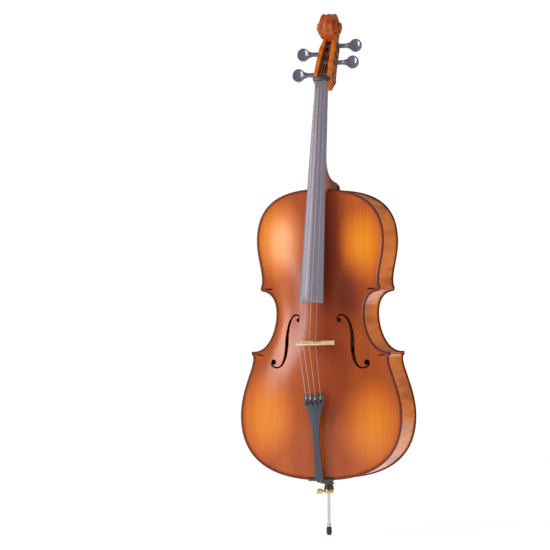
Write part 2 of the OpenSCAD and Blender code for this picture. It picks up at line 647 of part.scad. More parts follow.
module tailpiece() color(EBONY) difference() {
    intersection() {
        in_tail_frame() translate([0, 14, 0]) rotate([90, 0, 0]) linear_extrude(16) polygon(concat(TAIL_SIDE, flip(TAIL_SIDE)));
        in_tail_frame() translate([0, tail_r, -tail_len]) cylinder(r = tail_r, h = tail_len, $fn = 96);
        in_tail_frame() extrude_side(80) polygon([[-1, 0], [-1, -tail_len], [9.5, -tail_len], [9.5, -tail_len + tail_solid],
                                                 [12, -60], [13, 0]]);
    }
    in_tail_frame() translate([0, tail_r, -tail_len + tail_solid]) cylinder(r = tail_r - tail_t, h = tail_len, $fn = 96);
    for (i = [0:3]) {
        in_tail_frame() translate([tuner_x(i) - lever_w / 2 - 0.6, -3, -20]) cube([lever_w + 1.2, 20, 15]);
        on_pin(i) rotate([0, 90, 0]) cylinder(r = pin_r + 0.02, h = lever_w + 4, center = true);
        on_screw(i) translate([0, 0, -20]) cylinder(r = tuner_r + run_fit, h = 30);
    }
    for (e = [-1, 1]) in_tail_frame() translate([e * cord_x, cord_deep, -tail_len - 1]) cylinder(r = cord_r + 0.1, h = 24);
}

module tuner_pins() color(STEEL) for (i = [0:3]) on_pin(i) rotate([0, 90, 0]) cylinder(r = pin_r, h = lever_w + 3.6, center = true);

module tuner_lever(i) {
    arm = arm_y(i) - pin_y(i);
    back = screw_z - pin_z - 3;
    color(BRASS) on_pin(i) difference() {
        extrude_side(lever_w) polygon([[-5.2, 2.2], [-1, 3], [2.2, 3], [3.2, 0], [arm + 2, -4], [arm + 2, back], [arm, back],
                                      [arm, -5.4], [-1, -2.8], [-2.4, -1], [-2.6, 0.6], [-5.2, 0.6]]);
        rotate([0, 90, 0]) cylinder(r = pin_r + run_fit, h = 2 * lever_w, center = true);
        translate([-1.1, -8, -6]) cube([2.2, 5.8, 12]);
    }
}
module tuner_screw(i) color(STEEL) on_screw(i) translate([0, 0, -arm_y(i) + glue_gap])
    cylinder(r = tuner_r, h = arm_y(i) - glue_gap - knob_y(i) + 5);
knob_r = 4.7;
// A knob clears the crown beside its screw by more than the screw's travel
function knob_y(i) = tail_crest(max(abs(tuner_x(i)) - knob_r, 0)) - 1.4;
module tuner_knob(i) color(EBONY) on_screw(i) translate([0, 0, -knob_y(i)]) difference() {
    union() {
        cylinder(r = knob_r, h = 6);
        translate([0, 0, 6]) cylinder(r1 = knob_r, r2 = knob_r - 1, h = 1);
    }
    translate([0, 0, -1]) cylinder(r = tuner_r + run_fit, h = 6.5);
    for (a = [0:30:330]) rotate([0, 0, a]) translate([knob_r + 0.35, 0, -1]) cylinder(r = 0.8, h = 10, $fn = 24);
}
module string_ball(i) color(BRASS) translate(ball_at(i)) rotate([0, 90, 0]) cylinder(r = ball_r, h = lever_w, center = true);

// ---- Strings -------------------------------------------------------------------------------

function string_x(i, spread) = spread * (i / 3 - 0.5);
function at_nut(i) =
    let (x = string_x(i, nut_spread), yz = from_neck(crown(2 * abs(x)) - nut_top - 0.1, nut_len / 2)) [x, yz[0], yz[1]];
function at_bridge(i) =
    let (x = string_x(i, bridge_spread)) [x, bridge_top_y + crown(2 * abs(x)) - 0.1, bridge_z];
coil_turns = 4;
function coil_r(i) = peg_r(i, abs(PEGS[i][2]) + 6) + 0.05 + string_d[i];
// The string meets its winding on the side of the peg that faces the front
function at_coil(i) =
    let (r = coil_r(i) + string_d[i] / 2 + glue_gap, yz = from_neck(PEGS[i][0][0] - r * 0.92, PEGS[i][0][1] + r * 0.39))
    [PEGS[i][2], yz[0], yz[1]];
function short_of(a, b, d) = b + (a - b) * d / norm(a - b);
function string_points(i) = [at_coil(i), at_nut(i), at_bridge(i), short_of(at_bridge(i), ball_at(i), ball_r + 2 * glue_gap)];
module rod_between(a, b, r) {
    v = b - a;
    translate(a) rotate([0, acos(v[2] / norm(v)), atan2(v[1], v[0])]) cylinder(r = r, h = norm(v), $fn = 24);
}
// Straight lengths that run a little past each bend, so that they meet there
module string_run(i, r) {
    p = string_points(i);
    for (k = [0:2]) {
        from = k == 0 ? p[k] : short_of(p[k + 1], p[k], -0.7 * r);
        to = k == 2 ? p[k + 1] : short_of(p[k], p[k + 1], -0.7 * r);
        rod_between(from, to, r);
    }
}
module string(i) color("#b9b6b3") string_run(i, string_d[i] / 2);
module winding(i) {
    d = string_d[i];
    r = coil_r(i) - d;
    color("#8e4a52") on_peg(i) translate([0, 0, PEGS[i][1] * PEGS[i][2] - coil_turns * d / 2]) rotate_extrude() {
        translate([r, 0.1]) square([d * 0.6, coil_turns * d - 0.2]);
        for (k = [0:coil_turns - 1]) translate([r + d / 2, (k + 0.5) * d]) circle(d / 2, $fn = 24);
    }
}

// ---- Saddle, cord, and endpin --------------------------------------------------------------

waist_z = plug_z + collar_len * 0.55;
waist_r = 10.5;
loop_r = waist_r + cord_r + 0.1;
function cord_end(e) = from_tail(e * cord_x, cord_deep, -tail_len - 3.5);
module cord_run(e, r) rod_between(cord_end(e), [e * loop_r, 0, waist_z], r);
module tailgut() color(EBONY) {
    for (e = [-1, 1]) {
        rod_between(from_tail(e * cord_x, cord_deep, -tail_len + 22), cord_end(e), cord_r);
        translate(cord_end(e)) sphere(r = cord_r + 0.08);
        cord_run(e, cord_r);
        translate([e * loop_r, 0, waist_z]) sphere(r = cord_r + 0.08);
    }
    translate([0, 0, waist_z]) rotate_extrude(angle = 180) translate([loop_r, 0]) circle(cord_r, $fn = 24);
}

saddle_w = 66;
saddle_deep = 9;
saddle_proud = 6;
cord_groove = 0.3;
bottom_z = body_z - body_len;
module saddle() color(EBONY) difference() {
    intersection() {
        translate([-saddle_w / 2, front_edge_y - saddle_proud, bottom_z - 0.5])
            cube([saddle_w, saddle_proud + edge_t, saddle_deep + 0.5]);
        extrude_side(saddle_w + 2) polygon([[-half_h, bottom_z - 0.5], [front_edge_y - 2, bottom_z - 0.5],
            [front_edge_y - saddle_proud, bottom_z + 2.5], [front_edge_y - saddle_proud, bottom_z + 5],
            [front_edge_y - 1, bottom_z + saddle_deep], [-half_h, bottom_z + saddle_deep]]);
    }
    for (e = [-1, 1]) cord_run(e, cord_r + cord_groove);
}

plug_r = 13;
plug_deep = 38;
module plug_space() translate([0, 0, rib_bottom_z - 2]) cylinder(r1 = plug_r + 0.1, r2 = plug_r - 1.5 + 0.1, h = plug_deep + 6);
module endpin_plug() color(EBONY) difference() {
    union() {
        translate([0, 0, rib_bottom_z - 1]) cylinder(r1 = plug_r, r2 = plug_r - 1.4, h = plug_deep);
        translate([0, 0, rib_bottom_z - 4]) cylinder(r = plug_r + 1.5, h = 3.9);
        translate([0, 0, waist_z + cord_r + 1]) cylinder(r1 = waist_r, r2 = plug_r + 1.5, h = rib_bottom_z - 4 - waist_z - cord_r - 1);
        translate([0, 0, waist_z - cord_r - 1]) cylinder(r = waist_r, h = 2 * cord_r + 2);
        translate([0, 0, plug_z + 3]) cylinder(r1 = plug_r, r2 = waist_r, h = waist_z - cord_r - 1 - plug_z - 3);
        translate([0, 0, plug_z]) cylinder(r = plug_r, h = 3);
    }
    translate([0, 0, 0]) cylinder(d = rod_d + 2 * run_fit, h = body_z);
}
screw_mid_z = clamp_z + clamp_h / 2;
screw_r = 2.6;
module endpin_clamp() color(BRASS) difference() {
    union() {
        translate([0, 0, clamp_z + 1]) cylinder(d = clamp_d, h = clamp_h - 1.05);
        translate([0, 0, clamp_z]) cylinder(d1 = clamp_d - 3, d2 = clamp_d, h = 1);
    }
    translate([0, 0, clamp_z - 1]) cylinder(d = rod_d + 2 * run_fit, h = clamp_h + 2);
    translate([-clamp_d, 0, screw_mid_z]) rotate([0, 90, 0]) cylinder(r = screw_r + run_fit, h = clamp_d);
}
module clamp_screw() color(BRASS) translate([0, 0, screw_mid_z]) rotate([0, -90, 0])
    translate([0, 0, rod_d / 2 + 0.2]) cylinder(r = screw_r, h = clamp_d / 2 + 12 - rod_d / 2);
module clamp_knob() color(BRASS) translate([-clamp_d / 2 - 4.5, 0, screw_mid_z]) rotate([0, -90, 0]) difference() {
    union() {
        cylinder(r = 4.5, h = 5);
        translate([0, 0, 4]) intersection() {
            translate([-6.5, -2.5, 0]) cube([13, 5, 13]);
            translate([0, 8, 5.5]) rotate([90, 0, 0]) cylinder(r = 8, h = 16);
        }
    }
    translate([0, 0, -1]) cylinder(r = screw_r + 0.02, h = 9.5);
}

rod_foot = tip_len * 0.4;
ring_len = 7;
module endpin_rod() color(STEEL) {
    translate([0, 0, rod_foot]) cylinder(d = rod_d, h = rod_len - 1.5);
    translate([0, 0, rod_foot + rod_len - 1.5]) cylinder(d1 = rod_d, d2 = rod_d - 3, h = 1.5);
}
module endpin_tip() color("#1c1b1d") difference() {
    union() {
        cylinder(d1 = tip_d * 0.72, d2 = tip_d, h = tip_len * 0.3);
        translate([0, 0, tip_len * 0.3]) cylinder(d = tip_d, h = tip_len * 0.45);
        translate([0, 0, tip_len * 0.75]) cylinder(d1 = tip_d, d2 = tip_d - 3, h = tip_len * 0.25);
    }
    translate([0, 0, rod_foot - 0.02]) cylinder(d = rod_d + 0.04, h = tip_len);
}
module endpin_tip_ring() color(STEEL) translate([0, 0, tip_len + 0.05]) difference() {
    cylinder(d = tip_d - 3, h = ring_len);
    translate([0, 0, -1]) cylinder(d = rod_d + 0.04, h = ring_len + 2);
}

// ---- The cello -----------------------------------------------------------------------------

module right() children();
module left() mirror([1, 0, 0]) children();

top_plate();
back_plate();
left() upper_rib();  // rib_upper_left
right() upper_rib();  // rib_upper_right
left() waist_rib();  // rib_waist_left
right() waist_rib();  // rib_waist_right
left() lower_rib();  // rib_lower_left
right() lower_rib();  // rib_lower_right
neck_block();
end_block();
corner_blocks();
linings(-half_h);  // linings_front
linings(half_h - lining_h);  // linings_back
bass_bar();
sound_post();
purfling(-1);  // purfling_front
purfling(1);  // purfling_back
neck();
fingerboard();
nut();
saddle();
bridge();
tailpiece();
tuner_pins();
tailgut();
endpin_plug();
endpin_clamp();
endpin_rod();
endpin_tip();
endpin_tip_ring();
clamp_screw();
clamp_knob();
peg(0);  // peg_c
peg(1);  // peg_g
peg(2);  // peg_d
peg(3);  // peg_a
string(0);  // string_c
string(1);  // string_g
string(2);  // string_d
string(3);  // string_a
winding(0);  // winding_c
winding(1);  // winding_g
winding(2);  // winding_d
winding(3);  // winding_a
tuner_screw(0);  // tuner_screw_c
tuner_screw(1);  // tuner_screw_g
tuner_screw(2);  // tuner_screw_d
tuner_screw(3);  // tuner_screw_a
tuner_knob(0);  // tuner_knob_c
tuner_knob(1);  // tuner_knob_g
tuner_knob(2);  // tuner_knob_d
tuner_knob(3);  // tuner_knob_a
tuner_lever(0);  // tuner_lever_c
tuner_lever(1);  // tuner_lever_g
tuner_lever(2);  // tuner_lever_d
tuner_lever(3);  // tuner_lever_a
string_ball(0);  // string_ball_c
string_ball(1);  // string_ball_g
string_ball(2);  // string_ball_d
string_ball(3);  // string_ball_a
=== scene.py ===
"""A full-size cello, standing on its endpin.

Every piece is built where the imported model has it, in metres: the front faces -Y and +Z is up.
Places on the body are given as x from the centre line and s down from the top edge of the plates.
"""
from math import cos, exp, pi, radians, sin, sqrt, tan

import bmesh
import bpy
import numpy as np
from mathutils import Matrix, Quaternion, Vector
from mathutils.kdtree import KDTree


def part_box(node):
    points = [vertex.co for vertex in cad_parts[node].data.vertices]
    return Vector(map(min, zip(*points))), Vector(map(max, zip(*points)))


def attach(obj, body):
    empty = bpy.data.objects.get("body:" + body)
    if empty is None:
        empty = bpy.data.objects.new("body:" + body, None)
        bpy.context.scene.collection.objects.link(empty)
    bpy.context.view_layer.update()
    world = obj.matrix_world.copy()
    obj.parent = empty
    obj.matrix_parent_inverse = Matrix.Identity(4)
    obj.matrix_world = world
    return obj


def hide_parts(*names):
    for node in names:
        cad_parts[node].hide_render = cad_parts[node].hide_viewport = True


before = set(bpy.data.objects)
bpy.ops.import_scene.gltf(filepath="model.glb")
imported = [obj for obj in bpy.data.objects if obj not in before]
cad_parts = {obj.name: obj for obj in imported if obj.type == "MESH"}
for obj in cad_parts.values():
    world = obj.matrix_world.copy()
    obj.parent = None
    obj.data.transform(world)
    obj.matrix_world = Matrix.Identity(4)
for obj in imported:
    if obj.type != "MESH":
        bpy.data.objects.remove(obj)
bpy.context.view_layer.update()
scene = bpy.context.scene

# ---------------------------------------------------------------- studio
# A long lens far away, a pale floor, an even white surround and two tall soft lights.

turn, height, roll = radians(18.7), radians(0.2), radians(-0.33)
aim_height, distance = 0.56, 8.0
away = Vector((sin(turn) * cos(height), -cos(turn) * cos(height), sin(height)))
camera = bpy.data.objects.new("camera", bpy.data.cameras.new("camera"))
camera.location = Vector((0, 0, aim_height)) + away * distance
camera.rotation_mode = "QUATERNION"
camera.rotation_quaternion = away.to_track_quat("Z", "Y") @ Quaternion((0, 0, 1), roll)
camera.data.lens = 201.4
camera.data.sensor_width = 36
camera.data.shift_x = -0.0963
camera.data.shift_y = 0.0812
scene.collection.objects.link(camera)
scene.camera = camera
scene.view_settings.view_transform = "Standard"

world = bpy.data.worlds.new("studio")
world.use_nodes = True
world.node_tree.nodes["Background"].inputs["Color"].default_value = (1, 1, 1, 1)
world_tree = world.node_tree
seen = world_tree.nodes.new("ShaderNodeLightPath")
SEEN, DIFFUSE, MIRRORED = 1.02, 0.68, 0.17
last = None
for ray, strength in (("Is Camera Ray", SEEN - DIFFUSE), ("Is Glossy Ray", MIRRORED - DIFFUSE)):
    add = world_tree.nodes.new("ShaderNodeMath")
    add.operation = "MULTIPLY_ADD"
    add.inputs[1].default_value, add.inputs[2].default_value = strength, DIFFUSE
    world_tree.links.new(seen.outputs[ray], add.inputs[0])
    if last:
        world_tree.links.new(last, add.inputs[2])
    last = add.outputs[0]
world_tree.links.new(last, world_tree.nodes["Background"].inputs["Strength"])
scene.world = world


def soft_light(name, place, target, size, power, colour):
    lamp = bpy.data.lights.new(name, "AREA")
    lamp.shape = "RECTANGLE"
    lamp.size, lamp.size_y = size
    lamp.energy = power
    lamp.color = colour
    obj = bpy.data.objects.new(name, lamp)
    obj.location = place
    obj.rotation_mode = "QUATERNION"
    obj.rotation_quaternion = (Vector(place) - Vector(target)).to_track_quat("Z", "Y")
    scene.collection.objects.link(obj)


soft_light("key_light", (-2.6, -2.6, 1.7), (0, 0, 0.7), (0.9, 2.4), 84, (1, 0.91, 0.94))
soft_light("side_light", (2.9, -1.1, 1.5), (0, 0, 0.7), (0.6, 2.2), 17, (1, 0.96, 0.92))


def shader(name):
    """A new material, its nodes and its one surface shader."""
    material = bpy.data.materials.new(name)
    material.use_nodes = True
    return material, material.node_tree, material.node_tree.nodes["Principled BSDF"]


paper, tree, surface = shader("pale floor")
surface.inputs["Base Color"].default_value = (0.30, 0.30, 0.30, 1)
surface.inputs["Roughness"].default_value = 0.9
surface.inputs["Specular IOR Level"].default_value = 0.0
surface.inputs["Emission Color"].default_value = (1, 1, 1, 1)
surface.inputs["Emission Strength"].default_value = 0.78
sheet_mesh = bpy.data.meshes.new("floor")
sheet_mesh.from_pydata([(-4, -4, 0), (4, -4, 0), (4, 4, 0), (-4, 4, 0)], [], [(0, 1, 2, 3)])
sheet_mesh.materials.append(paper)
floor = bpy.data.objects.new("floor", sheet_mesh)
scene.collection.objects.link(floor)

# ---------------------------------------------------------------- outline of the body
# The front and the back are sawn to one outline: two bouts, a waist between them, and four corners.

edge = 0.0045
front_low, front_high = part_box("top_plate")
rib_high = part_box("rib_lower_right")[1]
body_top, body_len, lower = front_high.z, front_high.z - front_low.z, front_high.x
overhang, rib_wall, glue = lower - rib_high.x, 0.002, rib_high.y
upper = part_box("rib_upper_right")[1].x + overhang
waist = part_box("rib_waist_right")[0].x + overhang + rib_wall
upper_tip = np.array((upper * 0.947, body_len * 0.3405))
lower_tip = np.array((lower * 0.855, body_len * 0.558))
upper_in, lower_out = upper_tip + (-0.0035, 0.008), lower_tip + (-0.0015, 0.009)
TOP = np.array([(0, 0), (upper * 0.69, 0), (upper, body_len * 0.06), (upper, body_len * 0.179)])
UPPER = np.array([TOP[3], (upper, body_len * 0.245), (upper * 0.865, body_len * 0.306), upper_tip])
WAIST_UP = np.array([upper_in, upper_in + (-0.0295, 0.002), (waist, body_len * 0.389),
                     (waist, body_len * 0.4265)])
WAIST_LOW = np.array([WAIST_UP[3], (waist, body_len * 0.48), (waist + 0.021, body_len * 0.564), lower_tip])
LOWER = np.array([lower_out, lower_out + (-0.011, 0.024), (lower, body_len * 0.682),
                  (lower, body_len * 0.781)])
BOTTOM = np.array([LOWER[3], (lower, body_len * 0.924), (lower * 0.66, body_len), (0, body_len)])


def bezier(p, t):
    t = np.asarray(t)[..., None]
    return (1 - t) ** 3 * p[0] + 3 * t * (1 - t) ** 2 * p[1] + 3 * t * t * (1 - t) * p[2] + t**3 * p[3]


def inset(p, t, d):
    """Points on a curve of the outline, moved into the body by d."""
    t = np.asarray(t)[..., None]
    way = (1 - t) ** 2 * (p[1] - p[0]) + 2 * t * (1 - t) * (p[2] - p[1]) + t * t * (p[3] - p[2])
    way = way / np.linalg.norm(way, axis=-1, keepdims=True)
    return bezier(p, t[..., 0]) + d * np.stack((-way[..., 1], way[..., 0]), -1)


# ---------------------------------------------------------------- arched front and back
# Each is carved from two matched halves: spruce in front, maple behind. The arch rises from a shallow
# channel just inside the purfling, and the sound holes are sawn through the front.

plate_t, channel_t = 0.0045, 0.0036
front_arch = -front_low.y - glue
back_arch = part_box("back_plate")[1].y - glue
ridge_from, ridge_to = body_len * 0.195, body_len * 0.785
ARCH = [
    np.array([(0, 0.009), (upper * 0.66, 0.009), (upper - 0.009, body_len * 0.068),
              (upper - 0.009, body_len * 0.183)]),
    np.array([(upper - 0.009, body_len * 0.183), (upper - 0.009, body_len * 0.285),
              (waist - 0.009, body_len * 0.33),
              (waist - 0.009, body_len * 0.43)]),
    np.array([(waist - 0.009, body_len * 0.43), (waist - 0.009, body_len * 0.555),
              (lower - 0.009, body_len * 0.622),
              (lower - 0.009, body_len * 0.781)]),
    np.array([(lower - 0.009, body_len * 0.781), (lower - 0.009, body_len * 0.918),
              (lower * 0.64, body_len - 0.009),
              (0, body_len - 0.009)])]
arch_line = np.concatenate([bezier(c, np.linspace(0, 1, 80)[:-1]) for c in ARCH] + [ARCH[3][3:]])


def arch_share(x, s):
    """0 on the ridge of the arch, 1 where the arch starts, and more outside it."""
    x = np.abs(x)
    middle = x / np.interp(s, arch_line[:, 1], arch_line[:, 0])
    shares = [middle]
    for end, sign in ((ridge_from, -1), (ridge_to, 1)):
        rel = arch_line - (0, end)
        part = rel[rel[:, 1] * sign >= -0.02]
        angle = np.arctan2(part[:, 0], part[:, 1] * sign)
        order = np.argsort(angle)
        reach = np.interp(np.arctan2(x, (s - end) * sign), angle[order], np.hypot(*part.T)[order])
        shares.append(np.hypot(x, s - end) / reach)
    return np.where(s < ridge_from, shares[1], np.where(s > ridge_to, shares[2], shares[0]))


def ridge_height(arch, s):
    s = np.clip(s, ridge_from, ridge_to)
    return arch * (1 - 0.1 * ((s - body_len * 0.503) / (body_len / 3)) ** 2)


def swell(share):
    return (1 - np.cos(pi * np.clip(1 - share, 0, 1) ** 0.85)) / 2


def stations():
    """Right half of the outline: curve, place on it, and the place on the ridge that it faces."""
    spans = [(TOP, 36, 0.195, 0.225), (UPPER, 30, 0.225, 0.342), (WAIST_UP, 26, 0.3457, 0.42),
             (WAIST_LOW, 34, 0.42, 0.591), (LOWER, 30, 0.596, 0.742), (BOTTOM, 44, 0.742, 0.785)]
    for i, (curve, steps, low, high) in enumerate(spans):
        last = steps + (1 if i in (1, 3, 5) else 0)
        for k in range(last):
            yield curve, k / steps, body_len * (low + (high - low) * k / steps)


def lay_out(x, s, h, side):
    """Stands a place on a plate up in the model, h above its glue face."""
    return np.stack((x, side * (glue + h), body_top - s), -1)


def make(name, points, faces):
    """A mesh object with its doubles merged and its faces turned outwards."""
    mesh = bpy.data.meshes.new(name)
    mesh.from_pydata([tuple(p) for p in points], [], faces)
    bm = bmesh.new()
    bm.from_mesh(mesh)
    bmesh.ops.remove_doubles(bm, verts=bm.verts, dist=1e-6)
    bmesh.ops.dissolve_degenerate(bm, edges=bm.edges, dist=1e-7)
    bmesh.ops.recalc_face_normals(bm, faces=bm.faces)
    bm.to_mesh(mesh)
    bm.free()
    obj = bpy.data.objects.new(name, mesh)
    scene.collection.objects.link(obj)
    return obj


def apply_modifiers(obj):
    """Turns what the modifiers make into the object's own mesh."""
    view = bpy.context.evaluated_depsgraph_get()
    mesh = bpy.data.meshes.new_from_object(obj.evaluated_get(view))
    obj.modifiers.clear()
    obj.data = mesh


def carve(obj, cutter, operation="DIFFERENCE"):
    cut = obj.modifiers.new("cut", "BOOLEAN")
    cut.operation, cut.object, cut.solver = operation, cutter, "MANIFOLD"
    apply_modifiers(obj)
    bpy.data.objects.remove(cutter)


def crease(obj, angle=32):
    """Smooth shading, with sharp edges where the faces turn by more than the angle."""
    bm = bmesh.new()
    bm.from_mesh(obj.data)
    for f in bm.faces:
        f.smooth = True
    for e in bm.edges:
        e.smooth = len(e.link_faces) == 2 and e.calc_face_angle(0) < radians(angle)
    bm.to_mesh(obj.data)
    bm.free()


def fit(obj, material, slot, body, *nodes, angle=32):
    """Gives a finished piece its finish and its body, and shows it instead of its CAD nodes."""
    crease(obj, angle)
    obj.data.materials.clear()
    obj.data.materials.append(material)
    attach(obj, body)
    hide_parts(*nodes)


def prism(outline, low, high, place):
    """A closed outline, raised from low to high: (points, faces)."""
    n = len(outline)
    points = [place(a, b, c) for c in (low, high) for a, b in outline]
    sides = [(i, (i + 1) % n, n + (i + 1) % n, n + i) for i in range(n)]
    return points, sides + [tuple(range(n))[::-1], tuple(range(n, 2 * n))]


def joined(*parts):
    """Several (points, faces) as one."""
    points, faces = [], []
    for p, f in parts:
        faces += [tuple(i + len(points) for i in face) for face in f]
        points += list(p)
    return points, faces


def arched_plate(name, arch, side):
    rows = []
    for curve, t, ridge_s in stations():
        def at(d):
            return inset(curve, np.array([t]), d)[0]
        ridge = np.array((0, ridge_s))
        rim = [(0.0012, 0), (0, 0.0008), (0, 0.0030), (0.0003, 0.0038), (0.0012, 0.0044), (0.0024, edge),
               (0.0042, edge - 0.0001), (0.0042, edge - 0.0010), (0.0055, edge - 0.0010),
               (0.0055, edge - 0.0003),
               (0.0072, 0.0038)]
        line = [(*at(d), h) for d, h in rim]
        start = at(0.0085)
        steps = np.linspace(0, 1, 30) ** 1.15
        outer = start + steps[:, None] * (ridge - start)
        share = arch_share(outer[:, 0], outer[:, 1])
        top = ridge_height(arch, outer[:, 1])
        h = channel_t + (top - channel_t) * swell(share)
        line += [(p[0], p[1], z) for p, z in zip(outer, h)]
        start = at(0.010)
        inner = start + np.linspace(0, 1, 14)[:, None] * (ridge - start)
        share = arch_share(inner[:, 0], inner[:, 1])
        h = (ridge_height(arch, inner[:, 1]) - plate_t) * swell(share * 1.02)
        rows.append([(p[0], p[1], z) for p, z in zip(inner, h)][::-1] + line)
    half = np.array(rows)
    mirrored = half[-2:0:-1] * (-1, 1, 1)
    grid = np.concatenate((half, mirrored))
    n, m = grid.shape[:2]
    points = lay_out(grid[..., 0], grid[..., 1], grid[..., 2], side).reshape(-1, 3)
    faces = [(i * m + k, i * m + k + 1, (i + 1) % n * m + k + 1, (i + 1) % n * m + k)
             for i in range(n) for k in range(m - 1)]
    return make(name, points, faces)


outline_tree = [inset(c, np.linspace(0, 1, 60), 0) for c in (TOP, UPPER, WAIST_UP, WAIST_LOW, LOWER, BOTTOM)]
outline_points = np.concatenate(outline_tree)
near = KDTree(len(outline_points))
for number, (px, ps) in enumerate(outline_points):
    near.insert((px, ps, 0), number)
near.balance()


def paint(obj, varnish_tone_and_painted_shadow):
    """Stores a tone at each point, from 0, dark, to 1, golden: the varnish's own shading, and on the front
    also painted shadow.
    """
    values = []
    for v in obj.data.vertices:
        x, s = abs(v.co.x), body_top - v.co.z
        values.append(varnish_tone_and_painted_shadow(v.co.x, s, near.find((x, s, 0))[2]))
    layer = obj.data.attributes.new("varnish_tone_and_painted_shadow", "FLOAT", "POINT")
    layer.data.foreach_set("value", values)


def lobe(x, s, cx, cs, wide, tall):
    return exp(-(((x - cx) / wide) ** 2) - ((s - cs) / tall) ** 2)


def front_tone_and_painted_shadow(x, s, d):
    """Golden in the bouts nearly out to the edge, on each side of a darker middle; painted shadow darkens the
    front to the right of the fingerboard and of the tailpiece.
    """
    gold = max(lobe(x, s, -0.115, 0.130, 0.085, 0.125), lobe(x, s, 0.115, 0.145, 0.070, 0.115),
               0.84 * lobe(x, s, -0.145, 0.590, 0.100, 0.140), 0.92 * lobe(x, s, 0.135, 0.610, 0.100, 0.140))
    gold = max(gold, 0.46 * exp(-(((abs(x) - 0.10) / 0.065) ** 2)), 0.38)
    # Painted shadow: the front is darkened to the right of the tailpiece, where its shadow falls.
    gold *= 1 - 0.30 * lobe(x, s, 0.06, 0.52, 0.075, 0.22)
    # Painted shadow: a dark strip to the right of the fingerboard stands for the shadow it casts.
    painted_fingerboard_shadow = max(lobe(x, s, 0.030, 0.190, 0.034, 0.19), 0.85 * lobe(x, s, 0.075, 0.275, 0.045, 0.075))
    rim = min(1, max(0, (d - 0.001) / 0.010))
    return gold * (1 - 0.72 * painted_fingerboard_shadow) * (0.15 + 0.85 * rim * rim * (3 - 2 * rim))


def back_glow(x, s, d):
    gold = max(lobe(x, s, 0, 0.150, 0.115, 0.12), lobe(x, s, 0, 0.580, 0.16, 0.15),
               lobe(x, s, 0, 0.37, 0.07, 0.3))
    rim = min(1, max(0, (d - 0.003) / 0.03))
    return 0.85 * gold * (0.15 + 0.85 * rim * rim * (3 - 2 * rim))


def link(tree, a, b):
    tree.links.new(a, b)


def node(tree, kind, **values):
    """A node with its inputs and settings; keys with a capital are inputs."""
    made = tree.nodes.new(kind)
    for key, value in values.items():
        if key[0].isupper():
            made.inputs[key.replace("_", " ")].default_value = value
        else:
            setattr(made, key, value)
    return made


def ramp(tree, source, stops):
    made = tree.nodes.new("ShaderNodeValToRGB")
    while len(made.color_ramp.elements) < len(stops):
        made.color_ramp.elements.new(0.5)
    for element, (place, colour) in zip(made.color_ramp.elements, stops):
        element.position = place
        element.color = (*colour, 1)
    link(tree, source, made.inputs["Fac"])
    return made.outputs["Color"]


def blended(tree, mode, share, a, b):
    """Two colours mixed; share is a number or a socket."""
    made = tree.nodes.new("ShaderNodeMix")
    made.data_type, made.blend_type = "RGBA", mode
    for socket, value in ((made.inputs[0], share), (made.inputs[6], a), (made.inputs[7], b)):
        if isinstance(value, bpy.types.NodeSocket):
            link(tree, value, socket)
        else:
            socket.default_value = value
    return made.outputs[2]


def stretched(tree, scale, vector=None):
    """Coordinates stretched along an axis, for a grain."""
    if vector is None:
        vector = tree.nodes.new("ShaderNodeTexCoord").outputs["Object"]
    made = node(tree, "ShaderNodeMapping")
    made.inputs["Scale"].default_value = scale
    link(tree, vector, made.inputs["Vector"])
    return made.outputs["Vector"]


def noise(tree, vector, scale, detail=3, rough=0.5):
    made = node(tree, "ShaderNodeTexNoise", Scale=scale, Detail=detail, Roughness=rough)
    link(tree, vector, made.inputs["Vector"])
    return made.outputs["Fac"]


def bump(tree, surface, height, strength, depth):
    made = node(tree, "ShaderNodeBump", Strength=strength, Distance=depth)
    link(tree, height, made.inputs["Height"])
    link(tree, made.outputs["Normal"], surface.inputs["Normal"])


AMBER = [(0.0, (0.080, 0.009, 0.004)), (0.22, (0.25, 0.034, 0.006)), (0.55, (0.54, 0.118, 0.008)),
         (1.0, (0.84, 0.275, 0.008))]


def varnish(surface, rough=0.42, coat=0.6):
    surface.inputs["Roughness"].default_value = rough
    surface.inputs["Specular IOR Level"].default_value = 0.12
    surface.inputs["Coat Weight"].default_value = coat
    surface.inputs["Coat Roughness"].default_value = 0.20
    surface.inputs["Coat IOR"].default_value = 1.5


def spruce_varnish():
    """Fine straight grain under clear amber varnish, toned by the stored tone, which also carries painted
    shadow.
    """
    material, tree, surface = shader("varnished spruce with painted shadow")
    varnish_tone_and_painted_shadow = node(tree, "ShaderNodeAttribute", attribute_name="varnish_tone_and_painted_shadow").outputs["Fac"]
    base = ramp(tree, varnish_tone_and_painted_shadow, AMBER)
    grain = noise(tree, stretched(tree, (1, 0.1, 0.012)), 700, 4, 0.6)
    wide = noise(tree, stretched(tree, (1, 0.1, 0.03)), 60, 2)
    lines = ramp(tree, grain, [(0.38, (0.80, 0.72, 0.62)), (0.58, (1, 1, 1))])
    bands = ramp(tree, wide, [(0.3, (0.88, 0.86, 0.84)), (0.7, (1, 1, 1))])
    colour = blended(tree, "MULTIPLY", 0.55, base, lines)
    link(tree, blended(tree, "MULTIPLY", 0.6, colour, bands), surface.inputs["Base Color"])
    bump(tree, surface, grain, 0.05, 0.0003)
    varnish(surface)
    return material


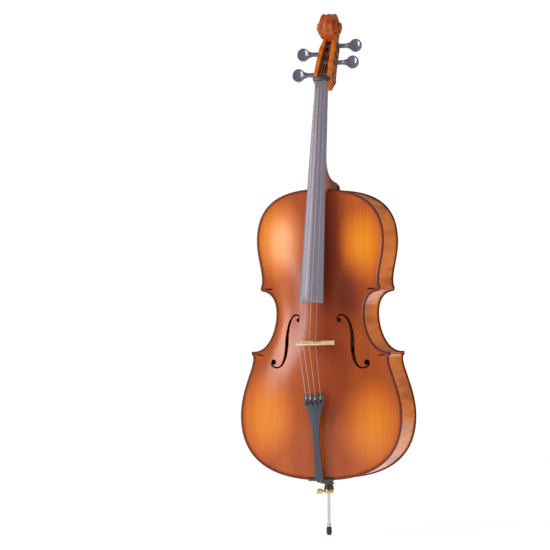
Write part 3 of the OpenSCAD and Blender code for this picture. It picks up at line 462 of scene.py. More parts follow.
def maple_varnish(name, flame, even=None):
    """Maple's flame: soft bands across the grain, over a fine fleck.

    It is shaded by the stored tone, or kept to one even colour.
    """
    material, tree, surface = shader(name)
    base = even or ramp(tree, node(tree, "ShaderNodeAttribute", attribute_name="varnish_tone_and_painted_shadow").outputs["Fac"], AMBER)
    curl = noise(tree, stretched(tree, flame), 1.0, 2.5, 0.55)
    fleck = noise(tree, stretched(tree, (1, 1, 0.08)), 900, 3)
    bands = ramp(tree, curl, [(0.36, (0.52, 0.36, 0.28)), (0.52, (1, 1, 1)), (0.66, (0.72, 0.58, 0.50))])
    dots = ramp(tree, fleck, [(0.35, (0.82, 0.78, 0.74)), (0.6, (1, 1, 1))])
    colour = blended(tree, "MULTIPLY", 0.75, base, bands)
    link(tree, blended(tree, "MULTIPLY", 0.6, colour, dots), surface.inputs["Base Color"])
    bump(tree, surface, fleck, 0.04, 0.0003)
    varnish(surface)
    return material


eye_up, eye_low = np.array((0.055, body_len * 0.45)), np.array((0.127, body_len * 0.5945))
eye_up_r, eye_low_r, slot_w, slot_end = 0.0055, 0.0072, 0.0105, 0.0034
HOLE_TOP = eye_up + [(-eye_up_r + 0.001, -0.002), (-eye_up_r, -0.012), (0.005, -0.017), (0.014, -0.011)]
HOLE_UP = np.array([HOLE_TOP[3], HOLE_TOP[3] + (0.013, 0.009), eye_up + (0.033, 0.025),
                    eye_up + (0.034, 0.053)])
HOLE_DOWN = np.array([HOLE_UP[3], HOLE_UP[3] + (0, 0.029), eye_low + (-0.033, 0.002),
                      eye_low + (-0.020, 0.011)])
HOLE_END = np.array([HOLE_DOWN[3], HOLE_DOWN[3] + (0.008, 0.006), eye_low + (eye_low_r - 0.001, 0.014),
                     eye_low + (eye_low_r - 0.001, 0.002)])


def sound_hole(mirror):
    """The cutter for one sound hole: a curved slot between two round eyes."""
    k = np.linspace(0, 1, 17)[:-1]
    widths = [(HOLE_TOP, k, slot_end + 0.0012 * k),
              (HOLE_UP, k, slot_end + 0.0012 + (slot_w - slot_end - 0.0012) * k**1.2),
              (HOLE_DOWN, k, slot_w - (slot_w - slot_end - 0.0014) * k**1.6),
              (HOLE_END, np.linspace(0, 1, 14), slot_end + 0.0014 - 0.0014 * np.linspace(0, 1, 14))]
    left = np.concatenate([inset(c, t, -w[:, None] / 2) for c, t, w in widths])
    right = np.concatenate([inset(c, t, w[:, None] / 2) for c, t, w in widths])
    shapes = [np.concatenate((left, right[::-1]))]
    for middle, r in ((eye_up, eye_up_r), (eye_low, eye_low_r)):
        a = np.linspace(0, 2 * pi, 33)[:-1]
        shapes.append(middle + r * np.stack((np.cos(a), np.sin(a)), -1))
    made = []
    for number, shape in enumerate(shapes):
        solid = prism([(mirror * x, s) for x, s in shape], 0.0 - number * 0.001, front_arch + 0.01,
                      lambda x, s, h: (x, -glue - h + 0.004, body_top - s))
        made.append(make("cutter", *solid))
    whole = made[0]
    for other in made[1:]:
        carve(whole, other, "UNION")
    return whole


def block(low, high):
    (a, b, c), (d, e, f) = low, high
    points = [(x, y, z) for x in (a, d) for y in (b, e) for z in (c, f)]
    return points, [(0, 1, 3, 2), (4, 6, 7, 5), (0, 4, 5, 1), (2, 3, 7, 6), (0, 2, 6, 4), (1, 5, 7, 3)]


root_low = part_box("neck")[0]
root_half = 0.0231
saddle_low, saddle_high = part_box("saddle")
front = arched_plate("front", front_arch, -1)
for mirror in (-1, 1):
    carve(front, sound_hole(mirror))
carve(front, make("cutter", *block((-root_half, -0.12, root_low.z), (root_half, 0.02, body_top + 0.02))))
carve(front, make("cutter", *block((saddle_low.x, -0.12, saddle_low.z - 0.01),
                                   (saddle_high.x, 0.02, saddle_high.z))))
paint(front, front_tone_and_painted_shadow)
spruce = spruce_varnish()
fit(front, spruce, "varnished_spruce", "root", "top_plate")

back = arched_plate("back", back_arch, 1)
button_half, button_top = 0.0135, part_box("back_plate")[1].z
arc = [(button_half * cos(a), button_top - button_half + button_half * sin(a)) for a in np.linspace(0, pi,
                                                                                                    25)]
button = prism([(button_half, body_top - 0.004)] + arc + [(-button_half, body_top - 0.004)], glue,
               glue + edge - 0.0002,
               lambda x, z, y: (x, y, z))
carve(back, make("cutter", *button), "UNION")
paint(back, back_glow)
fit(back, maple_varnish("varnished maple back", (9, 20, 95)), "varnished_maple", "root", "back_plate")

# ---------------------------------------------------------------- purfling
# Three thin strips, dark, pale and dark, glued as one into a groove that follows the edge all round.

inlay, tree, surface = shader("purfling inlay")
across = node(tree, "ShaderNodeUVMap").outputs["UV"]
parts = node(tree, "ShaderNodeSeparateXYZ")
link(tree, across, parts.inputs[0])
strips = ramp(tree, parts.outputs["Y"], [(0.0, (0.015, 0.007, 0.004)), (0.34, (0.015, 0.007, 0.004)),
                                         (0.38, (0.30, 0.12, 0.03)), (0.62, (0.30, 0.12, 0.03)),
                                         (0.66, (0.015, 0.007, 0.004)), (1.0, (0.015, 0.007, 0.004))])
link(tree, strips, surface.inputs["Base Color"])
varnish(surface)


def purfling(name, side, skip):
    """The ring of inlay, left out where skip says that something is let into the edge."""
    half = [[(*inset(c, np.array([t]), d)[0], h) for d, h in
             ((0.00425, edge - 0.0009), (0.00425, edge - 0.00012), (0.00545, edge - 0.00028),
              (0.00545, edge - 0.0009))]
            for c, t, _ in stations()
            if not (c is WAIST_UP and t < 0.16) and not (c is WAIST_LOW and t > 0.88)]
    grid = np.array(half)
    pieces = []
    for mirror in (1, -1):
        rows = [r for r in grid * (mirror, 1, 1) if not skip(abs(r[1][0]), r[1][1])]
        n = len(rows)
        points = lay_out(*np.array(rows).transpose(2, 0, 1), side).reshape(-1, 3)
        faces = [(i * 4 + k, i * 4 + (k + 1) % 4, i * 4 + 4 + (k + 1) % 4, i * 4 + 4 + k)
                 for i in range(n - 1) for k in range(4)] + [(3, 2, 1, 0),
                                                             (n * 4 - 4, n * 4 - 3, n * 4 - 2, n * 4 - 1)]
        pieces.append((points, faces))
    ring = make(name, *joined(*pieces))
    layer = ring.data.uv_layers.new(name="UVMap")
    for loop in ring.data.loops:
        p = ring.data.vertices[loop.vertex_index].co
        layer.data[loop.index].uv = (0, 0 if near.find((abs(p.x), body_top - p.z, 0))[2] < 0.0048 else 1)
    return ring


fit(purfling("purfling_front_inlay", -1, lambda x,
             s: x < (root_half if s < 0.1 else 0.033) and (s < 0.1 or s > 0.7)),
    inlay, "purfling", "root", "purfling_front")
fit(purfling("purfling_back_inlay", 1, lambda x, s: x < 0.0005), inlay, "purfling", "root", "purfling_back")

# ---------------------------------------------------------------- ribs
# Six strips of flamed maple, 2 mm thick, bent over an iron and glued to blocks at the corners.

flamed = maple_varnish("varnished maple ribs", (22, 4, 22), even=(0.76, 0.195, 0.006, 1))
plug_low, plug_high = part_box("endpin_plug")


def rib(name, curves, mirror, cut=None):
    walls = []
    for d in (overhang, overhang + rib_wall):
        line = np.concatenate([inset(c, np.linspace(a, b, 70), d) for c, a, b in curves])
        walls.append(line)
    outline = np.concatenate((walls[0], walls[1][::-1])) * (mirror, 1)
    obj = make(name, *prism([tuple(p) for p in outline], -glue, glue, lambda x, s, y: (x, y, body_top - s)))
    if cut:
        carve(obj, make("cutter", *cut))
    return obj


def drum(r, low, high, n=48):
    """An upright round cutter on the centre line."""
    ring = [(r * cos(2 * pi * k / n), r * sin(2 * pi * k / n)) for k in range(n)]
    return prism(ring, low, high, lambda x, y, z: (x, y, z))


for mirror, word in ((-1, "left"), (1, "right")):
    neck_cut = block((-root_half, -0.12, root_low.z - 0.001), (root_half, 0.0589, body_top + 0.02))
    fit(rib(f"upper_rib_{word}", [(TOP, 0, 1), (UPPER, 0.015, 1)], mirror, neck_cut),
        flamed, "varnished_maple", "root", f"rib_upper_{word}")
    fit(rib(f"waist_rib_{word}", [(WAIST_UP, 0, 1), (WAIST_LOW, 0.015, 1)], mirror),
        flamed, "varnished_maple", "root", f"rib_waist_{word}")
    plug_cut = drum(0.0131, plug_low.z, plug_high.z)
    fit(rib(f"lower_rib_{word}", [(LOWER, 0, 1), (BOTTOM, 0.015, 1)], mirror, plug_cut),
        flamed, "varnished_maple", "root", f"rib_lower_{word}")


# ---------------------------------------------------------------- neck, pegbox and scroll
# One piece of maple: the neck is let into the body, and the pegbox above it ends in a carved spiral.
# It has a frame of its own, with +Z up along the face that the fingerboard is glued to.

lean, neck_len, overstand, neck_deep = radians(9.2), 0.279, 0.020, 0.020
nut_y = -glue - edge - overstand + neck_len * tan(lean)
nut_z = body_top + neck_len


def from_neck(x, y, z):
    return np.array((x, nut_y + z * sin(lean) + y * cos(lean), nut_z + z * cos(lean) - y * sin(lean)))


def mix(a, b, t):
    return a + (b - a) * t


def sweep(rings, closed=True):
    """Rings of equally many points, joined and capped at both ends: (points, faces)."""
    n, m = len(rings), len(rings[0])
    points = [tuple(p) for ring in rings for p in ring]
    faces = [(i * m + k, i * m + (k + 1) % m, (i + 1) * m + (k + 1) % m, (i + 1) * m + k)
             for i in range(n - 1) for k in range(m)]
    if closed:
        faces += [tuple(range(m))[::-1], tuple(range((n - 1) * m, n * m))]
    return points, faces


def merged(name, *objects):
    """Several mesh objects as one."""
    bm = bmesh.new()
    for obj in objects:
        bm.from_mesh(obj.data)
        bpy.data.objects.remove(obj)
    mesh = bpy.data.meshes.new(name)
    bm.to_mesh(mesh)
    bm.free()
    whole = bpy.data.objects.new(name, mesh)
    scene.collection.objects.link(whole)
    return whole


neck_half, button_half_w, heel_start = 0.016, 0.0131, -neck_len * 0.66
heel_z, heel_wide = body_top + 0.018, 0.0225


def side(y, z):
    return from_neck(0, y, z)[1:]


HEEL = np.array([side(neck_deep + 0.0035, heel_start), side(neck_deep + 0.0045, heel_start - 0.072),
                 (glue - 0.060, heel_z + 0.001), (glue, heel_z)])
rings = []
bare_share = mix(neck_half, heel_wide, 0.66)


def glue_face(z):
    return np.array((nut_y - (nut_z - z) * tan(lean), z))


sections = []
for q in np.linspace(0, 1, 14)[:-1]:
    wide = mix(neck_half, bare_share, q)
    sections.append((side(0.0004, heel_start * q), side(neck_deep + 0.0035 * q, heel_start * q), wide, wide,
                     1))
for q in np.linspace(0, 1, 26):
    z = mix(side(0, heel_start)[1], heel_z + 0.005, q)
    sections.append((glue_face(z), bezier(HEEL, q), mix(bare_share, heel_wide, q),
                     mix(bare_share, button_half_w, q), mix(1, 0.4, q)))
for z in (body_top, root_low.z + 0.0003):
    sections.append((glue_face(z), np.array((glue - 0.0002, z)), heel_wide, button_half_w, 0.25))
for face, rear, wide, wide_behind, square in sections:
    turn_by = np.linspace(0, pi, 25)
    deep = np.abs(np.sin(turn_by)) ** square
    across = np.sign(np.cos(turn_by)) * np.abs(np.cos(turn_by)) ** square
    rings.append([(a * mix(wide, wide_behind, d), *mix(face, rear, d)) for a, d in zip(across, deep)])
shaft = make("shaft", *sweep(rings))

turn_w, cheek_t, pegbox_w, throat_w, cavity_top = 0.030, 0.010, 0.049, 0.041, 0.117
CHEEK = np.array([(-0.0015, 0.009), (0.005, 0.045), (0.019, 0.080), (0.040, 0.120)])
BACK = np.array([(0.077, 0.126), (0.073, 0.088), (0.044, 0.046), (0.045, 0.003)])
CHIN = np.array([(0.045, 0.003), (0.044, -0.016), (0.036, -0.021), (neck_deep - 0.001, -0.020)])
CAVITY = np.array([(0.054, cavity_top), (0.078, 0.112), (0.046, 0.062), (0.036, 0.0096)])


def pegbox_half(z):
    return mix(pegbox_w, throat_w, z / 0.125) / 2


def head_half(z):
    """Half the head's width: out from the neck, narrowing up the pegbox, and in again at the scroll."""
    places = [-0.021, -0.010, -0.004, 0.0, 0.005, 0.098, 0.108, 0.118, 0.150]
    widths = [neck_half + 0.0005, neck_half + 0.0015, neck_half + 0.003, pegbox_half(0) - 0.0012,
              pegbox_half(0.005),
              pegbox_half(0.098), pegbox_half(0.108) - 0.002, turn_w / 2 + 0.001, turn_w / 2]
    return np.interp(z, places, widths)


def slab_of(outline, half_width, rounding):
    """A side view given a width that varies with its height, and rounded edges."""
    outline = np.array(outline)
    ahead, behind = np.roll(outline, -1, 0), np.roll(outline, 1, 0)
    way = ahead - behind
    way /= np.linalg.norm(way, axis=1, keepdims=True)
    x, y = outline.T
    turned = np.sum(x * np.roll(y, -1) - np.roll(x, -1) * y) > 0
    inward = np.stack((-way[:, 1], way[:, 0]), 1) * (1 if turned else -1)
    layers = [(rounding, 0), (rounding * 0.3, rounding * 0.3), (0, rounding)]
    rings = []
    for sign, order in ((-1, layers), (1, layers[::-1])):
        for d, e in order:
            p = outline + inward * d
            rings.append([from_neck(sign * (half_width(z) - e), y, z) for (y, z), in zip(p)])
    return sweep(rings)


outline = np.concatenate([[(0.0003, -0.020), (0.0003, 0.001), (0.0001, 0.0012), (0.0001, 0.009)],
                          bezier(CHEEK, np.linspace(0, 1, 22)), [(0.050, 0.133), (0.072, 0.133)],
                          bezier(BACK, np.linspace(0, 1, 22)), bezier(CHIN, np.linspace(0.1, 1, 10))])
head = make("head", *slab_of(outline, head_half, 0.0022))
hollow = np.concatenate([[(-0.02, 0.0096), (-0.02, cavity_top), (0.036, cavity_top)],
                         bezier(CAVITY, np.linspace(0, 1, 16))])


def cavity_half(z):
    return np.interp(z, [0, 0.095, 0.120],
                     [pegbox_half(0) - cheek_t, pegbox_half(0.095) - cheek_t, turn_w / 2 - 0.007])


carve(head, make("cutter", *slab_of(hollow, cavity_half, 0.0012)))
PEGS = {"c": (0.022, 0.022, -1, -0.008), "g": (0.045, 0.0825, -1, -0.003), "d": (0.054, 0.106, 1, 0.0025),
        "a": (0.031, 0.056, 1, 0.008)}
peg_d, peg_taper, peg_room = 0.0125, 0.002, 0.00025


def peg_radius(reach, x):
    return (peg_d - peg_taper * (reach - x) / (2 * reach)) / 2


for y, z, way, _ in PEGS.values():
    reach = pegbox_half(z)
    bore = []
    for x in (-0.03, 0.03):
        r = peg_radius(reach, way * x) + peg_room
        bore.append([from_neck(x, y + r * cos(a), z + r * sin(a)) for a in np.linspace(0, 2 * pi, 37)[:-1]])
    carve(head, make("cutter", *sweep(bore)))

scroll_r, eye_r, eye_half = 0.038, 0.0075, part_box("neck")[1].x
eye_y, eye_z, spiral_from, spiral_turns, shrink = 0.040, 0.151, radians(-35), 870 / 360, 0.6


def spiral(a):
    return scroll_r * shrink ** ((a - pi / 2) / (2 * pi))


rings = []
for q in np.linspace(0, 1, 150):
    a = spiral_from + q * spiral_turns * 2 * pi
    r, inner = spiral(a), max(spiral(a + 2 * pi) * 0.93, eye_r * 0.5)
    half = mix(turn_w / 2 - 0.0005, eye_half - 0.0015, q**1.2)
    face = [(inner, half - 0.0004), (mix(inner, r, 0.25), half - 0.0019 * (1 - q)),
            (mix(inner, r, 0.55), half - 0.0022 * (1 - q)),
            (mix(inner, r, 0.85), half - 0.0008), (r - 0.0013, half), (r - 0.0003, half - 0.0005),
            (r, half - 0.0016)]
    dip = 0.0022 * max(0, 1 - 1.6 * q)
    back_line = [(r - dip * 0.75, half * 0.72), (r - dip, half * 0.5), (r - dip * 0.7, half * 0.24),
                 (r, half * 0.06)]
    line = face + back_line
    line = line + [(b, -x) for b, x in line[::-1]]
    rings.append([from_neck(x, eye_y + b * cos(a), eye_z + b * sin(a)) for b, x in line])
volute = make("volute", *sweep(rings))
rings = []
for x, r in ((-eye_half, 0.004), (-eye_half + 0.0012, eye_r - 0.001), (-eye_half + 0.0035, eye_r),
             (eye_half - 0.0035, eye_r),
             (eye_half - 0.0012, eye_r - 0.001), (eye_half, 0.004)):
    rings.append([from_neck(x, eye_y + r * cos(a), eye_z + r * sin(a)) for a in np.linspace(0, 2 * pi,
                                                                                            41)[:-1]])
eyes = make("eyes", *sweep(rings))
neck = merged("neck_and_scroll", shaft, head, volute, eyes)
layer = neck.data.attributes.new("varnish_tone_and_painted_shadow", "FLOAT", "POINT")
tones = []
for v in neck.data.vertices:
    up, deep = (v.co.z - nut_z) / cos(lean), v.co.y - nut_y - (v.co.z - nut_z) * tan(lean)
    tone = 0.42 if up > 0.118 else 0.66 - 9 * max(0, deep - max(0, up) * 0.33)
    tones.append(min(0.85, max(0.16, tone)))
layer.data.foreach_set("value", tones)
fit(neck, maple_varnish("varnished maple neck", (30, 30, 55)), "varnished_maple", "root", "neck", angle=40)

# ---------------------------------------------------------------- fingerboard
# Ebony glued along the neck: rounded across, with straight edges, and hollowed where it runs free.

board_len, board_nut_w, board_end_w, board_edge, board_r = 0.582, 0.032, 0.064, 0.007, 0.062


def crown(width):
    return board_r - sqrt(board_r**2 - width**2 / 4)


rings = []
free_from = neck_len + 0.016
for z in (0, 0.0006, *np.linspace(0.03, free_from, 12), free_from + 0.0001,
          *np.linspace(free_from + 0.02, board_len - 0.0006, 12), board_len):
    half = mix(board_nut_w, board_end_w, z / board_len) / 2 - (0.0004 if z in (0, board_len) else 0)
    top = board_edge + mix(crown(board_nut_w), crown(board_end_w), z / board_len)
    top -= 0.0004 if z in (0, board_len) else 0
    across = np.linspace(-1, 1, 25)
    over = [(half * u, -(top - crown(2 * half * abs(u)))) for u in across]
    over[0], over[-1] = (-half + 0.0005, over[0][1] - 0.0001), (half - 0.0005, over[-1][1] - 0.0001)
    over = [(-half, 0), (-half, over[0][1] + 0.0007), *over, (half, over[-1][1] + 0.0007), (half, 0)]
    deep = 0 if z <= free_from else 1
    inner = board_r - board_edge
    under = [(half * 0.92 * u,
              -deep * max(0, top - board_edge - inner + sqrt(inner**2 - (half * 0.92 * u) ** 2)))
             for u in np.linspace(1, -1, 17)]
    rings.append([from_neck(x, y, -z) for x, y in over + under])
board = make("fingerboard_ebony", *sweep(rings))
material, tree, surface = shader("satin ebony with painted sheen")
grain = noise(tree, stretched(tree, (1, 1, 0.02)), 900, 4, 0.6)
# Painted sheen: the near-black ebony is given a lighter grey-violet colour, standing for the soft lights'
# reflection on it.
link(tree, ramp(tree, grain, [(0.35, (0.150, 0.135, 0.180)), (0.65, (0.215, 0.195, 0.250))]),
     surface.inputs["Base Color"])
surface.inputs["Roughness"].default_value = 0.36
surface.inputs["Specular IOR Level"].default_value = 0.9
bump(tree, surface, grain, 0.04, 0.0002)
ebony = material
fit(board, ebony, "ebony", "root", "fingerboard", angle=35)

# ---------------------------------------------------------------- nut, saddle and tailpiece
# Ebony pieces cut from the solid. Their edges are broken, and they are rubbed to a satin finish.


def eased(name, *nodes, width=0.0003, angle=35):
    """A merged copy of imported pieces, with the sharp edges broken."""
    bm = bmesh.new()
    for piece in nodes:
        bm.from_mesh(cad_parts[piece].data)
    bmesh.ops.remove_doubles(bm, verts=bm.verts, dist=1e-6)
    bmesh.ops.dissolve_limit(bm, angle_limit=radians(1), verts=bm.verts, edges=bm.edges)
    mesh = bpy.data.meshes.new(name)
    bm.to_mesh(mesh)
    bm.free()
    obj = bpy.data.objects.new(name, mesh)
    scene.collection.objects.link(obj)
    bevel = obj.modifiers.new("edges", "BEVEL")
    bevel.width, bevel.segments, bevel.limit_method = width, 2, "ANGLE"
    bevel.angle_limit, bevel.use_clamp_overlap = radians(angle), True
    apply_modifiers(obj)
    return obj


oiled, tree, surface = shader("oiled ebony")
grain = noise(tree, stretched(tree, (1, 1, 0.1)), 900, 4, 0.6)
link(tree, ramp(tree, grain, [(0.35, (0.030, 0.026, 0.027)), (0.65, (0.052, 0.046, 0.048))]),
     surface.inputs["Base Color"])
surface.inputs["Roughness"].default_value = 0.34
fit(eased("nut_ebony", "nut"), oiled, "ebony", "root", "nut", angle=35)
fit(eased("saddle_ebony", "saddle", width=0.0006), oiled, "ebony", "root", "saddle", angle=35)
black, tree, surface = shader("moulded black")
grain = noise(tree, stretched(tree, (1, 1, 1)), 1400, 3, 0.6)
link(tree, ramp(tree, grain, [(0.3, (0.022, 0.026, 0.042)), (0.7, (0.036, 0.042, 0.064))]),
     surface.inputs["Base Color"])
surface.inputs["Roughness"].default_value = 0.30
surface.inputs["Specular IOR Level"].default_value = 0.7
bump(tree, surface, grain, 0.05, 0.0001)
fit(eased("tailpiece_body", "tailpiece", width=0.0007), black, "composite", "root", "tailpiece", angle=35)

# ---------------------------------------------------------------- bridge
# Thin unvarnished maple, thicker at its feet, cut through with a heart and kidneys.

material, tree, surface = shader("bare maple")
ray = noise(tree, stretched(tree, (0.25, 1, 1)), 900, 4)
link(tree, ramp(tree, ray, [(0.35, (0.66, 0.46, 0.26)), (0.6, (0.86, 0.68, 0.44))]),
     surface.inputs["Base Color"])
surface.inputs["Roughness"].default_value = 0.5
bump(tree, surface, ray, 0.05, 0.0002)
fit(eased("bridge_maple_piece", "bridge", width=0.0004), material, "bridge_maple", "root", "bridge", angle=30)

# ---------------------------------------------------------------- pegs
# Turned and tapered ebony, each with a collar and a flat oval head dished on both faces.

material, tree, surface = shader("polished ebony with painted sheen")
grain = noise(tree, stretched(tree, (0.05, 1, 1)), 900, 3)
# Painted sheen: the near-black ebony is given a lighter lilac-grey colour, standing for the soft lights'
# reflection on the pegs.
link(tree, ramp(tree, grain, [(0.35, (0.070, 0.068, 0.098)), (0.65, (0.125, 0.120, 0.165))]),
     surface.inputs["Base Color"])
surface.inputs["Roughness"].default_value = 0.2
surface.inputs["Specular IOR Level"].default_value = 0.8
surface.inputs["Coat Weight"].default_value = 0.6
bump(tree, surface, grain, 0.03, 0.0002)
polished = material
peg_past, peg_out = 0.003, 0.028
for letter, (y, z, way, coil_x) in PEGS.items():
    reach = pegbox_half(z)
    near = reach + peg_out
    rounds = [(-reach - peg_past, 0.0024), (-reach - peg_past, peg_radius(reach, -reach) - 0.0008),
              (-reach - peg_past + 0.0008, peg_radius(reach, -reach))]
    rounds += [(x, peg_radius(reach, x)) for x in np.linspace(-reach, reach + 0.002, 9)]
    rounds += [(near - 0.008, 0.0059), (near - 0.003, 0.0062), (near - 0.0005, 0.0072),
               (near + 0.0012, 0.0083),
               (near + 0.0028, 0.0085), (near + 0.0044, 0.0080), (near + 0.0052, 0.0066),
               (near + 0.0060, 0.0056),
               (near + 0.0078, 0.0052)]
    turned = [[from_neck(way * x, y + r * cos(a), z + way * r * sin(a))
               for a in np.linspace(0, 2 * pi, 37)[:-1]] for x, r in rounds]
    shank = make(f"shank_{letter}", *sweep(turned))
    middle = near + 0.0205
    dial = [(0.00, 0.0036), (0.30, 0.0036), (0.55, 0.0040), (0.74, 0.0049), (0.86, 0.0057), (0.94, 0.0055),
            (0.985, 0.0040), (1.0, 0.0018)]
    points, faces, n = [], [], 56
    rows = [(q, -h) for q, h in dial[1:]] + [(q, h) for q, h in dial[:0:-1]]
    for q, h in rows:
        for a in np.linspace(0, 2 * pi, n + 1)[:-1]:
            along, up = 0.0165 * q * cos(a), 0.0172 * q * sin(a)
            along -= 0.0008 * (1 - abs(sin(a))) * q
            points.append(from_neck(way * (middle + along), y + way * h, z + up))
    for i in range(len(rows) - 1):
        faces += [(i * n + k, i * n + (k + 1) % n, (i + 1) * n + (k + 1) % n,
                   (i + 1) * n + k) for k in range(n)]
    faces += [tuple(range(n))[::-1], tuple(range((len(rows) - 1) * n, len(rows) * n))]
    dish = make(f"head_{letter}", [tuple(v) for v in points], faces)
    peg = merged(f"peg_{letter}_turned", shank, dish)
    fit(peg, polished, "peg_ebony", f"peg_{letter}", f"peg_{letter}", angle=40)

# ---------------------------------------------------------------- strings
# Flat-wound steel over the nut and the bridge, each drawn along its own line and given its thickness.
# Coils of red silk hold their ends on the pegs.


def tube_nodes(name, sides=10):
    """A node group that gives a drawn line its thickness."""
    group = bpy.data.node_groups.new(name, "GeometryNodeTree")
    group.interface.new_socket("Line", in_out="INPUT", socket_type="NodeSocketGeometry")
    given = group.interface.new_socket("Radius", in_out="INPUT", socket_type="NodeSocketFloat")
    coat = group.interface.new_socket("Material", in_out="INPUT", socket_type="NodeSocketMaterial")
    group.interface.new_socket("Tube", in_out="OUTPUT", socket_type="NodeSocketGeometry")
    enter, leave = group.nodes.new("NodeGroupInput"), group.nodes.new("NodeGroupOutput")
    circle = group.nodes.new("GeometryNodeCurvePrimitiveCircle")
    circle.inputs["Resolution"].default_value = sides
    skin = group.nodes.new("GeometryNodeCurveToMesh")
    skin.inputs["Fill Caps"].default_value = True
    real = group.nodes.new("GeometryNodeRealizeInstances")
    paint_it = group.nodes.new("GeometryNodeSetMaterial")
    to_curve = group.nodes.new("GeometryNodeMeshToCurve")
    for a, b in ((enter.outputs["Line"], to_curve.inputs["Mesh"]),
                 (to_curve.outputs[0], skin.inputs["Curve"]),
                 (enter.outputs["Radius"], circle.inputs["Radius"]),
                 (circle.outputs[0], skin.inputs["Profile Curve"]),
                 (skin.outputs[0], real.inputs[0]), (real.outputs[0], paint_it.inputs["Geometry"]),
                 (enter.outputs["Material"], paint_it.inputs["Material"]),
                 (paint_it.outputs[0], leave.inputs["Tube"])):
        group.links.new(a, b)
    return group, given.identifier, coat.identifier


tube_group, radius_socket, material_socket = tube_nodes("line to tube")


def tube(name, line, radius, material):
    """A line of points made into a round tube with the node group."""
    mesh = bpy.data.meshes.new(name)
    mesh.from_pydata([tuple(p) for p in line], [(i, i + 1) for i in range(len(line) - 1)], [])
    obj = bpy.data.objects.new(name, mesh)
    scene.collection.objects.link(obj)
    maker = obj.modifiers.new("tube", "NODES")
    maker.node_group = tube_group
    maker[radius_socket], maker[material_socket] = radius, material
    bpy.context.view_layer.update()
    real = bpy.data.meshes.new_from_object(obj.evaluated_get(bpy.context.evaluated_depsgraph_get()))
    obj.modifiers.clear()
    obj.data = real
    return obj


material, tree, surface = shader("flat wound steel")
wound = noise(tree, stretched(tree, (1, 1, 1)), 3000, 2)
link(tree, ramp(tree, wound, [(0.3, (0.42, 0.38, 0.36)), (0.7, (0.60, 0.55, 0.52))]),
     surface.inputs["Base Color"])
surface.inputs["Metallic"].default_value = 0.9
surface.inputs["Roughness"].default_value = 0.42
wire = material
silk, tree, surface = shader("red silk")
strand = noise(tree, stretched(tree, (4, 1, 1)), 1200, 2)
link(tree, ramp(tree, strand, [(0.3, (0.14, 0.020, 0.035)), (0.7, (0.30, 0.060, 0.085))]),
     surface.inputs["Base Color"])
surface.inputs["Roughness"].default_value = 0.6

string_d = {"c": 0.0017, "g": 0.0014, "d": 0.00115, "a": 0.0009}
nut_top, nut_spread, bridge_spread = board_edge + crown(board_nut_w) + 0.0018, 0.022, 0.047
bridge_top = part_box("bridge")[0].y
stop_len = 0.402
bridge_z = body_top - stop_len
ball_r = 0.0021
for i, (letter, (y, z, way, coil_x)) in enumerate(PEGS.items()):
    d, reach = string_d[letter], pegbox_half(z)
    coil = peg_radius(reach, abs(coil_x) + 0.006) + 0.00005 + d
    far = coil + d / 2 + 0.0001
    x_nut, x_bridge = nut_spread * (i / 3 - 0.5), bridge_spread * (i / 3 - 0.5)
    at_coil = from_neck(coil_x, y - far * 0.92, z + far * 0.39)
    at_nut = from_neck(x_nut, crown(2 * abs(x_nut)) - nut_top - 0.0001, 0.0045)
    at_bridge = np.array((x_bridge, bridge_top + crown(2 * abs(x_bridge)) - 0.0001, bridge_z))
    ball = np.array((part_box(f"string_ball_{letter}")[0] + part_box(f"string_ball_{letter}")[1])) / 2
    last = ball + (at_bridge - ball) * (ball_r + 0.0001) / np.linalg.norm(at_bridge - ball)
    line = [at_coil, at_coil + (at_nut - at_coil) * 0.97, at_nut + (at_bridge - at_nut) * 0.002,
            at_nut + (at_bridge - at_nut) * 0.5, at_nut + (at_bridge - at_nut) * 0.998,
            at_bridge + (last - at_bridge) * 0.01, last]
    string = tube(f"string_{letter}_wire", line, d / 2, wire)
    fit(string, wire, "string_steel", "root", f"string_{letter}", angle=50)
    turns = 4
    steps = turns * 28
    helix = [from_neck(coil_x + (q - 0.5) * (turns - 1) * d,
                       y + (coil - d / 2) * cos(q * (turns - 0.02) * 2 * pi),
                       z + (coil - d / 2) * sin(q * (turns - 0.02) * 2 * pi)) for q in np.linspace(0, 1,
                                                                                                   steps)]
    winding = tube(f"winding_{letter}_silk", helix, d / 2 * 0.99, silk)
    fit(winding, silk, "string_silk", f"peg_{letter}", f"winding_{letter}", angle=50)

# ---------------------------------------------------------------- fine tuners
# A brass lever under each string, pushed by a steel screw with a knurled knob on its end.

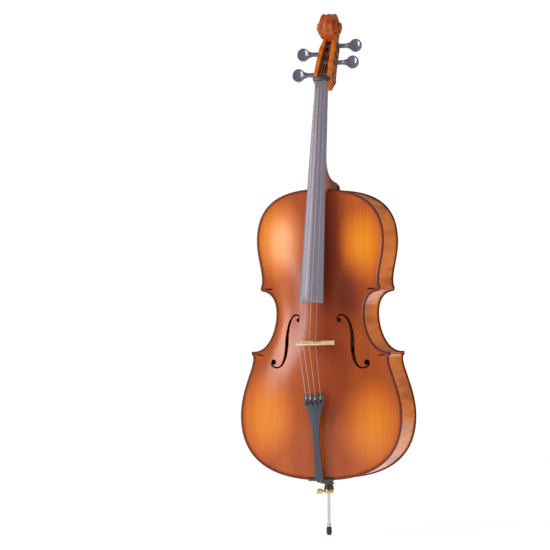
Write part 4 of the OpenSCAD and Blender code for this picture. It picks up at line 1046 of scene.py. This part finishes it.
steel, tree, surface = shader("polished steel")
brushed = noise(tree, stretched(tree, (1, 1, 0.1)), 1200, 2)
link(tree, ramp(tree, brushed, [(0.3, (0.50, 0.50, 0.52)), (0.7, (0.66, 0.66, 0.68))]),
     surface.inputs["Base Color"])
surface.inputs["Metallic"].default_value = 1.0
surface.inputs["Roughness"].default_value = 0.25
brass, tree, surface = shader("polished brass")
brushed = noise(tree, stretched(tree, (1, 1, 0.4)), 900, 2)
link(tree, ramp(tree, brushed, [(0.3, (0.62, 0.42, 0.15)), (0.7, (0.80, 0.60, 0.28))]),
     surface.inputs["Base Color"])
surface.inputs["Metallic"].default_value = 1.0
surface.inputs["Roughness"].default_value = 0.26
fit(eased("tuner_pins_steel", "tuner_pins", width=0.0002), steel, "steel", "root", "tuner_pins", angle=35)
for letter in PEGS:
    fit(eased(f"ball_{letter}", f"string_ball_{letter}", width=0.0003), brass, "brass",
        f"tuner_lever_{letter}",
        f"string_ball_{letter}", angle=35)
    fit(eased(f"lever_{letter}", f"tuner_lever_{letter}", width=0.0002), brass, "brass",
        f"tuner_lever_{letter}",
        f"tuner_lever_{letter}", angle=35)
    fit(eased(f"screw_{letter}", f"tuner_screw_{letter}", width=0.0002), steel, "steel",
        f"tuner_screw_{letter}",
        f"tuner_screw_{letter}", angle=35)
    fit(eased(f"knob_{letter}", f"tuner_knob_{letter}", width=0.0002), black, "composite",
        f"tuner_knob_{letter}",
        f"tuner_knob_{letter}", angle=35)

# ---------------------------------------------------------------- tail cord
# A loop of smooth black cord from the foot of the tailpiece, over the saddle and round the plug.

material, tree, surface = shader("smooth cord")
skin = noise(tree, stretched(tree, (1, 1, 1)), 2500, 2)
link(tree, ramp(tree, skin, [(0.3, (0.020, 0.020, 0.023)), (0.7, (0.036, 0.036, 0.040))]),
     surface.inputs["Base Color"])
surface.inputs["Roughness"].default_value = 0.45
fit(eased("tail_cord", "tailgut", width=0.0002), material, "cord", "root", "tailgut", angle=60)

# ---------------------------------------------------------------- endpin
# An ebony plug, a brass clamp with a thumbscrew, a sliding steel rod, and a ringed rubber tip.

fit(eased("plug_ebony", "endpin_plug", width=0.0005), oiled, "ebony", "root", "endpin_plug", angle=35)
fit(eased("clamp_brass", "endpin_clamp", width=0.0005), brass, "brass", "root", "endpin_clamp", angle=35)
fit(eased("rod_steel", "endpin_rod", width=0.0003), steel, "steel", "endpin", "endpin_rod", angle=35)
fit(eased("ring_steel", "endpin_tip_ring", width=0.0003), steel, "steel", "endpin", "endpin_tip_ring",
    angle=35)
fit(eased("clamp_screw_brass", "clamp_screw", width=0.0003), brass, "brass", "clamp_screw", "clamp_screw",
    angle=35)
fit(eased("clamp_knob_brass", "clamp_knob", width=0.0005), brass, "brass", "clamp_knob", "clamp_knob",
    angle=35)
material, tree, surface = shader("black rubber")
pores = noise(tree, stretched(tree, (1, 1, 1)), 1800, 3)
link(tree, ramp(tree, pores, [(0.3, (0.017, 0.016, 0.017)), (0.7, (0.030, 0.029, 0.031))]),
     surface.inputs["Base Color"])
surface.inputs["Roughness"].default_value = 0.7
bump(tree, surface, pores, 0.1, 0.0001)
fit(eased("tip_rubber", "endpin_tip", width=0.0005), material, "rubber", "endpin", "endpin_tip", angle=35)

# ---------------------------------------------------------------- inside the body
# Bare spruce: the blocks, the linings bent along the ribs, the bass bar and the sound post.

material, tree, surface = shader("bare spruce")
grain = noise(tree, stretched(tree, (1, 1, 0.03)), 500, 3)
link(tree, ramp(tree, grain, [(0.35, (0.52, 0.35, 0.18)), (0.65, (0.76, 0.58, 0.34))]),
     surface.inputs["Base Color"])
surface.inputs["Roughness"].default_value = 0.7
bump(tree, surface, grain, 0.08, 0.0003)
for piece in ("neck_block", "end_block", "corner_blocks", "linings_front", "linings_back", "bass_bar",
              "sound_post"):
    fit(eased(f"{piece}_spruce", piece, width=0.0005), material, "bare_wood", "root", piece, angle=30)
